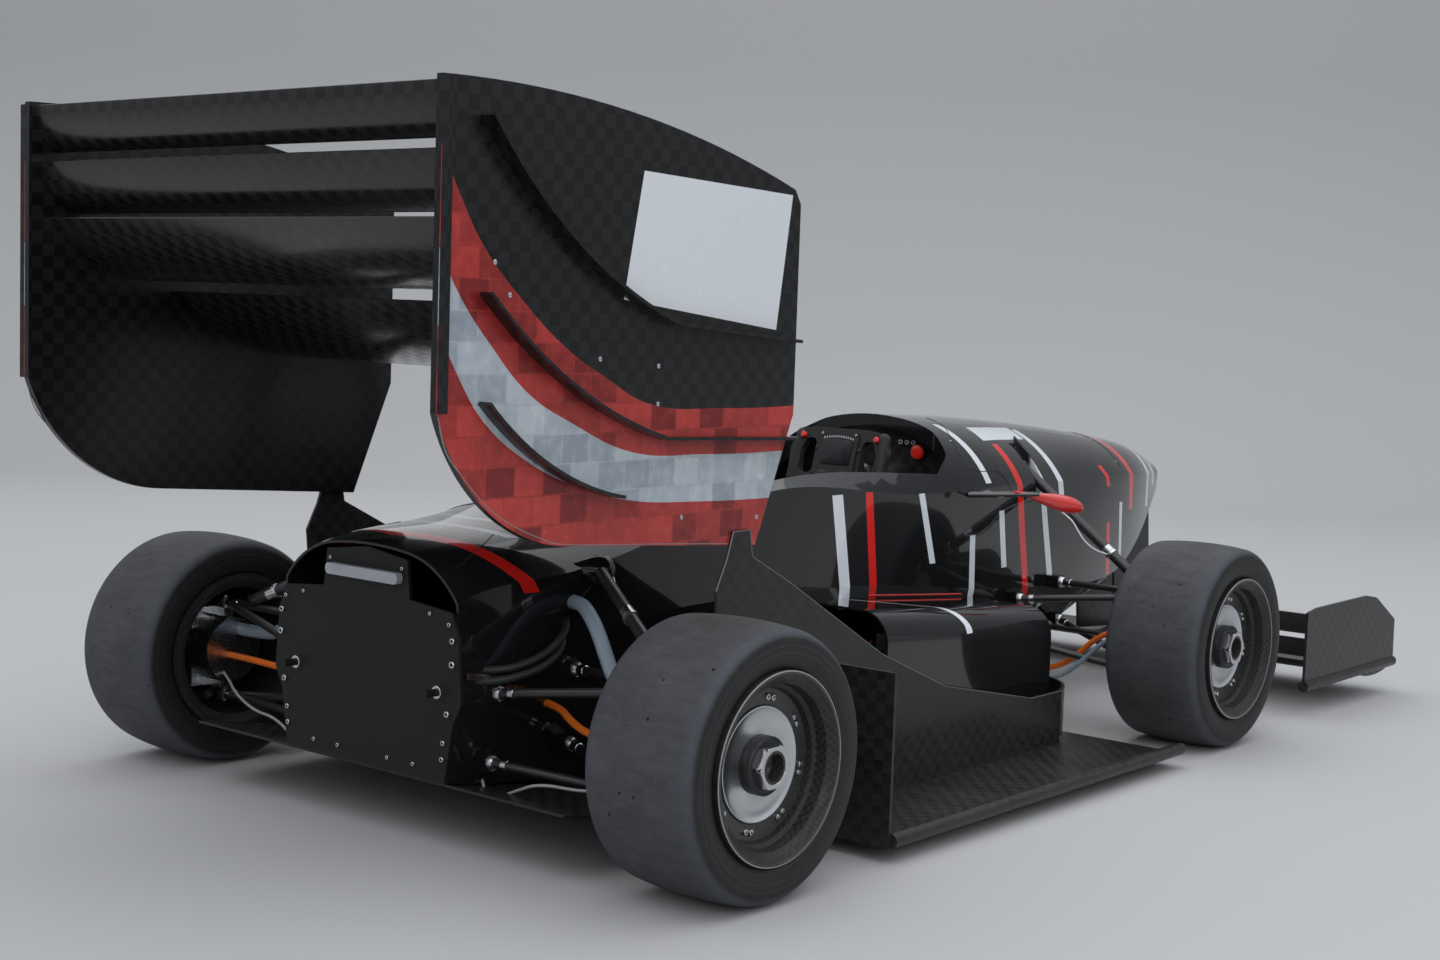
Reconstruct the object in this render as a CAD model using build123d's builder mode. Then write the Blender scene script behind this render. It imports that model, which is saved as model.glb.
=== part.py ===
"""Open wheel racing car with four wheel motors, in millimetres.

Y runs from the nose (-) to the tail (+), X to the car's left and Z up from the ground. Table rows and
named stations give y as the distance behind the front axle, and at() turns it into the model's own y.
"""
import math
import os

from build123d import *

# Whole car
overall_length = 2890.0
front_overhang = 905.0
wheelbase = 1530.0
front_track = 1200.0
rear_track = 1240.0
front_axle_y = front_overhang - overall_length / 2

# Tyres and wheels
tyre_radius = 205.0
tyre_half_width = 103.0
tread_half_width = 84.0
tread_drop = 7.0
bead_radius = 127.0
rim_half_width = 95.0
rim_lip_width = 9.0
rim_lip_radius = 141.0
barrel_inner_radius = 116.0
wheel_centre_radius = 84.0
web_offset = 46.0
web_thickness = 10.0
nut_radius = 43.5
nut_height = 22.0
hex_across = 60.0
hex_height = 14.0
wheel_boss_radius = 34.0
wheel_boss_depth = 40.0
stub_radius = 20.0
running_gap = 0.3

# Wheel carriers
kingpin_offset = 55.0
kingpin_radius = 6.0
ball_height = 86.0
eye_radius = 15.0
eye_thickness = 16.0
eye_gap = 3.0
carrier_thickness = 18.0
carrier_half_height = 72.0
carrier_half_width = 46.0
lug_half_width = 10.0
lug_depth = 15.0
motor_radius = 58.0
motor_length = 62.0
steering_arm_length = 70.0
steering_arm_thickness = 9.0
steering_arm_drop = 30.0
rod_eye_radius = 9.0
rod_eye_thickness = 12.0
rod_eye_gap = 0.6

# Body shell
body_wall = 22.0
cover_wall = 4.0
floor_height = 25.0
floor_thickness = 4.0
cover_front = 1345.0
cover_bottom = 372.0
tail = 1676.0
nose_joint = -490.0
cockpit_front = 318.0
cockpit_widest = 425.0
cockpit_rear = 975.0
cockpit_front_half_width = 153.0
cockpit_corner = 28.0
body_top = 700.0
cockpit_half_width = 238.0
firewall_at = 985.0
firewall_thickness = 12.0
dash_at = 276.0
dash_thickness = 8.0
dash_bottom = 440.0
dash_top = 640.0
rear_plate_thickness = 6.0
stud_radius = 6.0
stud_length = 26.0
stud_spacing = 340.0
stud_height = 252.0

# Floor, side boards and sidepods
undertray_front = 240.0
undertray_rear = 1214.0
undertray_half_width = 700.0
undertray_edge_radius = 12.0
diffuser_half_width = 440.0
diffuser_rise = 81.0
board_half_width = 487.0
board_thickness = 5.0
tyre_wall_height = 302.0
tyre_wall_thickness = 6.0
sidepod_front = 300.0
sidepod_rear = 900.0
sidepod_half_width = 464.0
sidepod_wall = 4.0
sidepod_front_top = 284.0
sidepod_rear_top = 335.0
sidepod_corner = 58.0
radiator_thickness = 34.0
radiator_at = 640.0

# Rear wing
wing_half_span = 475.0
wing_plate_thickness = 12.0
wing_flange = 13.0
wing_flange_thickness = 8.0
strake_height = 24.0
strake_thickness = 5.0

# Front wing
front_wing_half_span = 664.0
front_plate_thickness = 6.0
front_plate_bottom = 60.0
footplate_radius = 12.0
pylon_half_spacing = 48.0
pylon_thickness = 6.0

# Suspension, steering, hoop and hoses
arm_radius = 7.5
pushrod_radius = 11.0
hoop_radius = 15.0
hoop_at = 1040.0
hoop_top = 1035.0
hoop_half_width = 200.0
hoop_top_half_width = 110.0
hoop_foot = 470.0
hoop_shoulder = 640.0
hoop_bend = 90.0
brace_radius = 12.0
cross_bar_radius = 10.5
cross_bar_height = 800.0
cross_bar_half_length = 155.0
head_pad_width = 200.0
head_pad_depth = 52.0
head_pad_height = 170.0
head_pad_corner = 15.0
steering_wheel_y = 433.0
steering_wheel_z = 549.0
wheel_rim_depth = 16.0
wheel_block_depth = 26.0
wheel_block_width = 96.0
wheel_block_height = 118.0
wheel_corner = 15.0
grip_radius = 13.0
column_tilt = 16.0
shaft_radius = 9.0
column_radius = 16.0
rack_y = -steering_arm_length
rack_housing_radius = 17.0
rack_bar_radius = 9.0
rack_housing_half_length = 120.0
rack_bar_half_length = 215.0
tie_rod_radius = 5.5
cable_radius = 6.0
hose_radius = 12.0
lamp_width = 172.0
lamp_height = 18.0
lamp_depth = 12.0
lamp_z = 418.0
seat_half_width = 150.0
seat_shell = 6.0
accumulator_width = 260.0
accumulator_length = 250.0
accumulator_height = 270.0
accumulator_bottom = 90.0
radiator_middle = 358.0
radiator_width = 178.0
radiator_height = 220.0
mirror_half_height = 18.0
mirror_half_depth = 12.0
mirror_blade = 7.0

os.makedirs("parts", exist_ok=True)

keel_height = floor_height + floor_thickness
axle_height = tyre_radius
rack_z = axle_height - steering_arm_drop + rod_eye_gap + rod_eye_thickness / 2


def at(x, y, z):
    """A point in the model from x, the distance behind the front axle and z."""
    return (x, front_axle_y + y, z)


def save(name, label):
    """Label a finished sub-part and write it to its own file."""
    name.part.label = label
    export_step(name.part, f"parts/{label}.step")


def across(y):
    """The plane across the car at y behind the front axle, its own axes along X and Z."""
    return Plane(origin=at(0, y, 0), x_dir=(1, 0, 0), z_dir=(0, -1, 0))


def lengthwise(x):
    """The plane along the car at x, its own axes along Y, from the front axle, and Z."""
    return Plane(origin=at(x, 0, 0), x_dir=(0, 1, 0), z_dir=(1, 0, 0))


def plan(z):
    """The level plane at z, its own axes along X and Y, from the front axle."""
    return Plane(origin=at(0, 0, z), x_dir=(1, 0, 0), z_dir=(0, 0, 1))


def bar(start, end, radius, mode=Mode.ADD):
    """Add a round bar from start to end, or cut one away."""
    a = Vector(*start)
    b = Vector(*end)
    with BuildSketch(Plane(origin=a, z_dir=b - a)) as section:
        Circle(radius)
    extrude(section.sketch, amount=(b - a).length, mode=mode)


def plate(plane, points, thickness):
    """Add a flat plate with straight edges through points of the plane."""
    with BuildSketch(plane) as outline:
        with BuildLine():
            Polyline(*points, close=True)
        make_face()
    extrude(outline.sketch, amount=thickness)


def aerofoil(plane, nose, trailing, thickness, camber, nose_radius):
    """The section of one wing element: a round nose and two arcs that bow down and meet at the back."""
    chord = Vector(trailing[0] - nose[0], trailing[1] - nose[1])
    along = chord.normalized()
    down = Vector(along.Y, -along.X)
    front = Vector(*nose)
    middle = front + along * (chord.length * 0.42)
    upper = front + along * nose_radius - down * nose_radius
    lower = front + along * nose_radius + down * nose_radius
    back_upper = front + chord
    back_lower = back_upper + down * 2.0
    upper_middle = middle + down * (camber - thickness / 2)
    lower_middle = middle + down * (camber + thickness / 2)
    with BuildSketch(plane) as section:
        with BuildLine():
            ThreePointArc(upper, front, lower)
            ThreePointArc(lower, lower_middle, back_lower)
            Line(back_lower, back_upper)
            ThreePointArc(back_upper, upper_middle, upper)
        make_face()
    return section.sketch


def cord(points, radius, bend_share=0.45):
    """Add a hose or cable: straight runs joined by tangent arcs as large as the runs allow."""
    corners = [Vector(*point) for point in points]
    radii = []
    for before, here, after in zip(corners, corners[1:], corners[2:]):
        shorter = min((here - before).length, (after - here).length)
        turn = math.radians((here - before).get_angle(after - here))
        radii.append(bend_share * shorter / math.tan(turn / 2))
    with BuildLine() as route:
        FilletPolyline(*corners, radius=radii)
    with BuildSketch(Plane(origin=corners[0], z_dir=corners[1] - corners[0])) as section:
        Circle(radius)
    sweep(section.sketch, path=route.wires()[0])
    print("cord bends", [round(value) for value in radii])


def body_section(y, ridge, edge, shoulder, chine, keel, inset):
    """One closed cross-section of the body at y, drawn in by inset on every side."""
    right = [
        (keel[0] - inset, keel[1] + inset),
        (chine[0] - inset, chine[1] + inset / 3),
        (shoulder[0] - inset, shoulder[1] - inset / 2),
        (edge[0] - inset / 2, edge[1] - inset),
    ]
    left = [(-x, z) for x, z in right]
    with BuildSketch(across(y)) as section:
        with BuildLine():
            Polyline(*reversed(right[:3]), *left[:3])
            crown = ThreePointArc(left[3], (0, ridge - inset), right[3])
            TangentArc(right[3], right[2], tangent=crown % 1)
            TangentArc(left[3], left[2], tangent=(crown % 0) * -1)
        make_face()
    return section.sketch


def body_loft(stations, inset=0.0):
    """Add the body form through the stations, drawn in by inset."""
    loft([body_section(*row, inset) for row in stations])


# Body stations: y behind the front axle, ridge height, then (half width, height) of the edge of the
# crown, the shoulder crease, the lower chine and the keel
body_stations = (
    (-862.0, 506.0, (32.0, 498.0), (54.0, 474.0), (52.0, 424.0), (30.0, 408.0)),
    (-730.0, 547.0, (48.0, 536.0), (100.0, 479.0), (98.0, 372.0), (62.0, 350.0)),
    (nose_joint, 583.0, (66.0, 571.0), (162.0, 492.0), (158.0, 272.0), (112.0, 240.0)),
    (-150.0, 617.0, (78.0, 603.0), (200.0, 497.0), (212.0, 268.0), (150.0, 150.0)),
    (205.0, 639.0, (100.0, 627.0), (240.0, 503.0), (238.0, 290.0), (180.0, 40.0)),
    (600.0, 642.0, (120.0, 628.0), (260.0, 511.0), (256.0, 335.0), (190.0, keel_height - 4)),
    (980.0, 600.0, (150.0, 580.0), (260.0, 535.0), (256.0, 350.0), (190.0, keel_height - 4)),
    (cover_front, 508.0, (110.0, 500.0), (240.0, 448.0), (238.0, 330.0), (165.0, 62.0)),
    (1510.0, 487.0, (101.0, 480.0), (223.0, 420.0), (229.0, 285.0), (178.0, 87.0)),
    (tail, 466.0, (92.0, 460.0), (206.0, 392.0), (220.0, 240.0), (190.0, 112.0)),
)
nose_rows = 2

# Arm and rod pick-ups on the body: x of the pad's face, y behind the front axle, z, half size
front_upper_pickups = ((250.0, -60.0, 284.0), (254.0, 118.0, 264.0))
front_lower_pickups = ((208.0, -130.0, 190.0), (232.0, 125.0, 180.0))
rear_upper_pickups = ((232.0, 1440.0, 268.0), (228.0, 1608.0, 250.0))
rear_lower_pickups = ((214.0, 1430.0, 142.0), (214.0, 1606.0, 138.0))
front_pushrod_pickup = (178.0, -6.0, 529.0)
rear_pushrod_pickup = (246.0, 1404.0, 424.0)
rod_slot_middle = 200.0
rod_slot_length = 90.0
rod_slot_width = 36.0
rod_slot_bottom = 480.0
rod_slot_height = 140.0
rocker_thickness = 8.0
pad_half = 13.0
pad_depth = 60.0
pickups = (
    *front_upper_pickups,
    *front_lower_pickups,
    *rear_upper_pickups,
    *rear_lower_pickups,
)


# Steering axis: from the wheel's hub forwards and down
tilt = math.radians(column_tilt)
column_way = Vector(0, math.cos(tilt), math.sin(tilt))
wheel_hub = Vector(*at(0, steering_wheel_y, steering_wheel_z))
column_start = wheel_hub - column_way * 92
column_end = wheel_hub - column_way * 330

# Body form from nose to tail, its hollow and the region of the rear cover
with BuildPart() as body_form:
    body_loft(body_stations)
    split(bisect_by=Plane.XY.offset(keel_height), keep=Keep.TOP)

with BuildPart() as body_hollow:
    body_loft(body_stations[nose_rows:], body_wall)
    split(bisect_by=Plane.XY.offset(keel_height + body_wall), keep=Keep.TOP)

with BuildPart() as cover_hollow:
    body_loft(body_stations, cover_wall)

with BuildPart() as cover_region:
    with Locations(at(0, cover_front + 250, cover_bottom + 150)):
        Box(700, 500, 300)

# Monocoque: the body form behind the nose joint, hollow, with its pads and the cockpit opening
with BuildPart() as monocoque:
    add(body_form.part)
    split(bisect_by=across(nose_joint), keep=Keep.BOTTOM)
    for face_x, y, z in pickups:
        for side in (-1, 1):
            with Locations(at(side * (face_x - pad_depth / 2), y, z)):
                Box(pad_depth, 2 * pad_half, 2 * pad_half)
    add(body_hollow.part, mode=Mode.SUBTRACT)
    add(cover_region.part, mode=Mode.SUBTRACT)
    with BuildSketch(plan(keel_height + body_wall)):
        with BuildLine():
            right = [
                (cockpit_front_half_width, cockpit_front),
                (cockpit_half_width - cockpit_corner, (cockpit_front + cockpit_widest) / 2 - 20),
                (cockpit_half_width, cockpit_widest),
                (cockpit_half_width, cockpit_rear),
            ]
            left = [(-x, y) for x, y in reversed(right)]
            FilletPolyline(*right, *left, radius=cockpit_corner, close=True)
        make_face()
    extrude(amount=body_top, mode=Mode.SUBTRACT)
    for side in (-1, 1):
        with Locations(at(side * 200, rack_y, rack_z)):
            Box(160, 4 * rack_bar_radius, 4 * rack_bar_radius, mode=Mode.SUBTRACT)
        with Locations(at(side * rod_slot_middle, front_pushrod_pickup[1], rod_slot_bottom + rod_slot_height / 2)):
            Box(rod_slot_length, rod_slot_width, rod_slot_height, mode=Mode.SUBTRACT)
save(monocoque, "monocoque")

with BuildPart() as nose_cone:
    add(body_form.part)
    split(bisect_by=across(nose_joint), keep=Keep.TOP)
save(nose_cone, "nose_cone")

with BuildPart() as rear_cover:
    add(body_form.part)
    add(cover_hollow.part, mode=Mode.SUBTRACT)
    add(cover_region.part, mode=Mode.INTERSECT)
save(rear_cover, "rear_cover")

with BuildPart() as firewall:
    add(body_hollow.part)
    with Locations(at(0, firewall_at + firewall_thickness / 2, 300)):
        Box(700, firewall_thickness, 620, mode=Mode.INTERSECT)
save(firewall, "firewall")

with BuildPart() as dashboard:
    add(body_hollow.part)
    with Locations(at(0, dash_at + dash_thickness / 2, (dash_bottom + dash_top) / 2)):
        Box(700, dash_thickness, dash_top - dash_bottom, mode=Mode.INTERSECT)
    bar(column_start, column_end, column_radius, mode=Mode.SUBTRACT)
save(dashboard, "dashboard")

with BuildPart() as accumulator:
    with Locations(at(0, firewall_at + firewall_thickness + accumulator_length / 2,
                      accumulator_bottom + accumulator_height / 2)):
        Box(accumulator_width, accumulator_length, accumulator_height)
save(accumulator, "accumulator")

# Undertray: flat floor, ramp behind it and round side edges
ramp_end = keel_height + diffuser_rise
with BuildPart() as undertray:
    plate(plan(floor_height), (
        (-undertray_half_width, undertray_front),
        (undertray_half_width, undertray_front),
        (undertray_half_width, undertray_rear),
        (-undertray_half_width, undertray_rear),
    ), floor_thickness)
    plate(lengthwise(-diffuser_half_width), (
        (undertray_rear - 1, floor_height),
        (tail, ramp_end - floor_thickness),
        (tail, ramp_end),
        (undertray_rear - 1, keel_height),
    ), 2 * diffuser_half_width)
    for side in (-1, 1):
        bar(
            at(side * undertray_half_width, undertray_front, floor_height + undertray_edge_radius),
            at(side * undertray_half_width, undertray_rear, floor_height + undertray_edge_radius),
            undertray_edge_radius,
        )
    add(body_form.part, mode=Mode.SUBTRACT)
save(undertray, "undertray")

# Walls ahead of the rear tyres, on the rear edge of the floor
with BuildPart() as tyre_walls:
    wall_middle = (board_half_width + board_thickness + undertray_half_width) / 2
    wall_width = undertray_half_width - board_half_width - board_thickness
    for side in (-1, 1):
        with Locations(at(side * wall_middle, undertray_rear + tyre_wall_thickness / 2,
                          (floor_height + tyre_wall_height) / 2)):
            Box(wall_width, tyre_wall_thickness, tyre_wall_height - floor_height)
save(tyre_walls, "tyre_walls")

# Side boards: outline of y behind the front axle and z
board_outline = (
    (340.0, keel_height),
    (340.0, 132.0),
    (452.0, 132.0),
    (757.0, 194.0),
    (958.0, 275.0),
    (1085.0, 345.0),
    (1218.0, 418.0),
    (1322.0, 470.0),
    (1330.0, 512.0),
    (1370.0, 512.0),
    (1384.0, 470.0),
    (1408.0, 422.0),
    (1400.0, 338.0),
    (1398.0, 90.0),
    (1212.0, keel_height),
)

with BuildPart() as side_boards:
    for side in (-1, 1):
        inner = side * board_half_width
        plate(lengthwise(inner), board_outline, side * board_thickness)
        with BuildSketch(plan(undertray_edge_radius + keel_height)) as vane:
            with BuildLine():
                ThreePointArc(
                    (side * 300.0, 215.0), (side * 440.0, 262.0), (side * board_half_width, 345.0)
                )
                Line((side * board_half_width, 345.0), (side * (board_half_width + board_thickness), 345.0))
                ThreePointArc(
                    (side * (board_half_width + board_thickness), 345.0), (side * 444.0, 258.0),
                    (side * 300.0, 210.0)
                )
                Line((side * 300.0, 210.0), (side * 300.0, 215.0))
            make_face()
        extrude(vane.sketch, amount=92)
save(side_boards, "side_boards")

# Sidepods: open front and rear, seated on the floor and against the body
for label, side in (("sidepod_left", 1), ("sidepod_right", -1)):
    with BuildPart() as sidepod:
        inner_x = side * 150.0
        for wall, mode in ((0.0, Mode.ADD), (sidepod_wall, Mode.SUBTRACT)):
            rows = ((sidepod_front - wall, 440.0 - wall, sidepod_front_top - wall),
                    (sidepod_rear + wall, sidepod_half_width - wall, sidepod_rear_top - wall))
            faces = []
            for y, half_width, top in rows:
                with BuildSketch(across(y)) as section:
                    with BuildLine():
                        corner = sidepod_corner - wall
                        Line((inner_x, keel_height), (inner_x, top))
                        Line((inner_x, top), (side * (half_width - corner), top))
                        RadiusArc(
                            (side * (half_width - corner), top), (side * half_width, top - corner),
                            side * corner
                        )
                        Line((side * half_width, top - corner), (side * half_width, keel_height))
                        Line((side * half_width, keel_height), (inner_x, keel_height))
                    make_face()
                faces.append(section.sketch)
            loft(faces, mode=mode)
        add(body_form.part, mode=Mode.SUBTRACT)
    save(sidepod, label)

# Radiators across each duct
with BuildPart() as radiators:
    for side in (-1, 1):
        with Locations(at(side * radiator_middle, radiator_at, keel_height + radiator_height / 2)):
            Box(radiator_width, radiator_thickness, radiator_height)
save(radiators, "radiators")

# Seat: a bent shell between the floor of the body and the firewall, its line from the knees up
seat_line = ((480.0, 74.0), (560.0, 54.0), (740.0, 54.0), (890.0, 300.0), (968.0, 560.0))
seat_bends = (90.0, 60.0, 120.0)
with BuildPart() as seat:
    with BuildSketch(lengthwise(-seat_half_width)) as profile:
        with BuildLine():
            FilletPolyline(*seat_line, radius=seat_bends)
        trace(line_width=seat_shell)
    extrude(profile.sketch, amount=2 * seat_half_width)
save(seat, "seat")

# Rear plate, its boxed top, studs and the lamp
rear_outline = (
    (96.0, 448.0),
    (103.0, 387.0),
    (200.0, 378.0),
    (215.0, 338.0),
    (224.0, 240.0),
    (206.0, 205.0),
    (190.0, 112.0),
)
with BuildPart() as rear_plate:
    mirrored = [(-x, z) for x, z in reversed(rear_outline)]
    plate(across(tail), (*rear_outline, *mirrored, (0.0, 460.0)), -rear_plate_thickness)
    for side in (-1, 1):
        bar(
            at(side * stud_spacing / 2, tail + rear_plate_thickness, stud_height),
            at(side * stud_spacing / 2, tail + rear_plate_thickness + stud_length, stud_height),
            stud_radius,
        )
save(rear_plate, "rear_plate")

with BuildPart() as rear_lamp:
    with BuildSketch(across(tail + rear_plate_thickness)):
        with Locations((0, lamp_z)):
            RectangleRounded(lamp_width, lamp_height, lamp_height / 2 - 1)
    extrude(amount=-lamp_depth)
save(rear_lamp, "rear_lamp")

# Main hoop with braces, cross bar and head pad
with BuildPart() as main_hoop:
    with BuildLine() as hoop_line:
        FilletPolyline(
            at(-hoop_half_width, hoop_at, hoop_foot),
            at(-hoop_half_width, hoop_at, hoop_shoulder),
            at(-hoop_top_half_width, hoop_at, hoop_top - hoop_radius),
            at(hoop_top_half_width, hoop_at, hoop_top - hoop_radius),
            at(hoop_half_width, hoop_at, hoop_shoulder),
            at(hoop_half_width, hoop_at, hoop_foot),
            radius=hoop_bend,
        )
    with BuildSketch(Plane(origin=hoop_line.line @ 0, z_dir=hoop_line.line % 0)):
        Circle(hoop_radius)
    sweep(path=hoop_line.line)
    for side in (-1, 1):
        bar(at(side * 80, hoop_at, hoop_top - hoop_radius), at(side * 110, cover_front - 20, hoop_foot),
            brace_radius)
    bar(at(-cross_bar_half_length, hoop_at, cross_bar_height),
        at(cross_bar_half_length, hoop_at, cross_bar_height), cross_bar_radius)
    add(body_form.part, mode=Mode.SUBTRACT)
save(main_hoop, "main_hoop")

with BuildPart() as head_pad:
    with Locations(at(0, hoop_at - cross_bar_radius - head_pad_depth / 2, cross_bar_height)):
        Box(head_pad_width, head_pad_depth, head_pad_height)
    fillet(head_pad.edges(), head_pad_corner)
save(head_pad, "head_pad")

# Rear wing: elements from rows of nose (y, z), trailing edge (y, z), thickness, camber, nose radius
plate_front = 1225.0
plate_rear = overall_length - front_overhang
rear_main_row = ((plate_front + 37, 776.0), (plate_rear - 285, 850.0), 34.0, 52.0, 12.0)
rear_flap_rows = (
    ((plate_rear - 317, 880.0), (plate_rear - 41, 962.0), 22.0, 34.0, 8.0),
    ((plate_rear - 99, 972.0), (plate_rear - 23, 1050.0), 14.0, 12.0, 5.0),
    ((plate_rear - 55, 1066.0), (plate_rear - 11, 1137.0), 12.0, 9.0, 5.0),
)
with BuildPart() as rear_wing_main:
    extrude(aerofoil(lengthwise(-wing_half_span), *rear_main_row), amount=2 * wing_half_span)
save(rear_wing_main, "rear_wing_main")

with BuildPart() as rear_wing_flaps:
    for row in rear_flap_rows:
        extrude(aerofoil(lengthwise(-wing_half_span), *row), amount=2 * wing_half_span)
save(rear_wing_flaps, "rear_wing_flaps")

# End plates: y behind the front axle and z of the top arc, the lower rear arc and the straight bottom
plate_top_arc = ((plate_front + 15, 1042.0), (plate_rear - 372, 1125.0), (plate_rear, 1142.0))
plate_low_arc = ((plate_rear, 705.0), (plate_rear - 74, 590.0), (plate_rear - 252, 514.0))
plate_bottom = (plate_low_arc[-1], (plate_front + 86, 486.0), (plate_front, 690.0), (plate_front, 1020.0))
# Strakes on the outer faces: start, middle and front end of each curve, and its end at the plate's front
strake_curves = (
    ((plate_rear - 71, 1096.0), (plate_rear - 275, 911.0), (plate_rear - 455, 828.0), (plate_front + 13, 805.0)),
    ((plate_rear - 73, 863.0), (plate_rear - 219, 750.0), (plate_rear - 436, 661.0), (plate_front + 11, 652.0)),
    ((plate_rear - 74, 718.0), (plate_rear - 210, 622.0), (plate_rear - 345, 580.0), None),
)
for label, side in (("rear_wing_plate_left", 1), ("rear_wing_plate_right", -1)):
    with BuildPart() as wing_plate:
        inner = side * wing_half_span
        outer = side * (wing_half_span + wing_plate_thickness)
        with BuildSketch(lengthwise(inner)) as outline:
            with BuildLine():
                ThreePointArc(*plate_top_arc)
                Line(plate_top_arc[-1], plate_low_arc[0])
                ThreePointArc(*plate_low_arc)
                Polyline(*plate_bottom)
                Line(plate_bottom[-1], plate_top_arc[0])
            make_face()
        extrude(outline.sketch, amount=side * wing_plate_thickness)
        flange_low = plate_low_arc[0][1]
        flange_high = plate_top_arc[-1][1] - 4
        with Locations(at(outer + side * wing_flange / 2, plate_rear - wing_flange_thickness / 2,
                          (flange_low + flange_high) / 2)):
            Box(wing_flange, wing_flange_thickness, flange_high - flange_low)
        for start, middle, end, front in strake_curves:
            with BuildSketch(lengthwise(outer)) as strake:
                with BuildLine():
                    ThreePointArc(start, middle, end)
                    if front:
                        Line(end, front)
                trace(line_width=strake_thickness)
            extrude(strake.sketch, amount=side * strake_height)
    save(wing_plate, label)

# Front wing: the same kind of rows, the main element under the nose and flaps outboard of it
front_main_row = ((-896.0, 66.0), (-640.0, 88.0), 20.0, 16.0, 8.0)
front_flap_rows = (
    ((-690.0, 96.0), (-560.0, 152.0), 14.0, 14.0, 6.0),
    ((-600.0, 160.0), (-496.0, 218.0), 12.0, 12.0, 5.0),
)
flap_inner = 170.0
with BuildPart() as front_wing_main:
    extrude(aerofoil(lengthwise(-front_wing_half_span), *front_main_row), amount=2 * front_wing_half_span)
save(front_wing_main, "front_wing_main")

with BuildPart() as front_wing_flaps:
    for side in (-1, 1):
        for row in front_flap_rows:
            section = aerofoil(lengthwise(side * flap_inner), *row)
            extrude(section, amount=side * (front_wing_half_span - flap_inner))
        plate(lengthwise(side * flap_inner), (
            (-700.0, 84.0), (-700.0, 110.0), (-496.0, 226.0), (-490.0, 200.0), (-560.0, 120.0), (-640.0, 84.0)
        ), -side * 4)
    add(front_wing_main.part, mode=Mode.SUBTRACT)
save(front_wing_flaps, "front_wing_flaps")

front_plate_rear = -400.0
front_plate_outline = (
    (front_plate_rear, front_plate_bottom),
    (front_plate_rear, 234.0),
    (-450.0, 241.0),
    (-728.0, 243.0),
    (-784.0, 234.0),
    (-902.0, 172.0),
    (-front_overhang, front_plate_bottom),
)
with BuildPart() as front_wing_plates:
    for side in (-1, 1):
        inner = side * front_wing_half_span
        plate(lengthwise(inner), front_plate_outline, side * front_plate_thickness)
        roll_x = inner + side * front_plate_thickness / 2
        roll_z = front_plate_bottom + footplate_radius
        bar(at(roll_x, -front_overhang, roll_z), at(roll_x, front_plate_rear, roll_z), footplate_radius)
    add(front_wing_main.part, mode=Mode.SUBTRACT)
save(front_wing_plates, "front_wing_plates")

pylon_outline = ((-860.0, 70.0), (-820.0, 420.0), (-640.0, 420.0), (-680.0, 82.0))
with BuildPart() as front_wing_pylons:
    for side in (-1, 1):
        plate(lengthwise(side * pylon_half_spacing), pylon_outline, side * pylon_thickness)
    add(nose_cone.part, mode=Mode.SUBTRACT)
    add(front_wing_main.part, mode=Mode.SUBTRACT)
save(front_wing_pylons, "front_wing_pylons")


ball_top = axle_height + ball_height
ball_bottom = axle_height - ball_height


def wishbone(side, track, axle, ball_z, feet):
    """Add one wishbone: an eye round the kingpin and a bar to the pad of each pick-up."""
    ball = at(side * (track / 2 - kingpin_offset), axle, ball_z)
    for x, y, z in feet:
        foot = Vector(*at(side * x, y, z))
        start = Vector(*ball)
        way = (foot - start).normalized()
        bar(start + way * (eye_radius - 4), foot, arm_radius)
    with Locations(ball):
        Cylinder(eye_radius, eye_thickness)
        Cylinder(kingpin_radius + running_gap, 2 * eye_thickness, mode=Mode.SUBTRACT)


# Foot of each push rod on its upper wishbone
front_pushrod_foot = (486.0, -4.0, ball_top + 10)
rear_pushrod_foot = (500.0, wheelbase - 14, ball_top + 8)
arm_parts = {}
for label, track, axle, ball_z, feet, rod_foot in (
    ("front_upper_wishbones", front_track, 0.0, ball_top, front_upper_pickups, front_pushrod_foot),
    ("front_lower_wishbones", front_track, 0.0, ball_bottom, front_lower_pickups, None),
    ("rear_upper_wishbones", rear_track, wheelbase, ball_top, rear_upper_pickups, rear_pushrod_foot),
    ("rear_lower_wishbones", rear_track, wheelbase, ball_bottom, rear_lower_pickups, None),
):
    with BuildPart() as arms:
        for side in (-1, 1):
            wishbone(side, track, axle, ball_z, feet)
            if rod_foot:
                with Locations(at(side * rod_foot[0], *rod_foot[1:])):
                    Box(18, 16, 18)
        add(monocoque.part, mode=Mode.SUBTRACT)
    save(arms, label)
    arm_parts[label] = arms.part

# Push rods from each upper wishbone to the body
for label, arm_label, foot, top in (
    ("front_pushrods", "front_upper_wishbones", front_pushrod_foot, front_pushrod_pickup),
    ("rear_pushrods", "rear_upper_wishbones", rear_pushrod_foot, rear_pushrod_pickup),
):
    with BuildPart() as rods:
        for side in (-1, 1):
            bar(at(side * foot[0], *foot[1:]), at(side * top[0], *top[1:]), pushrod_radius)
            if label == "front_pushrods":
                plate(across(top[1] + rocker_thickness / 2), (
                    (side * 148, 596), (side * 190, 560), (side * 188, 518), (side * 164, 514)
                ), rocker_thickness)
        add(monocoque.part, mode=Mode.SUBTRACT)
        add(rear_cover.part, mode=Mode.SUBTRACT)
        add(arm_parts[arm_label], mode=Mode.SUBTRACT)
    save(rods, label)


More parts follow.
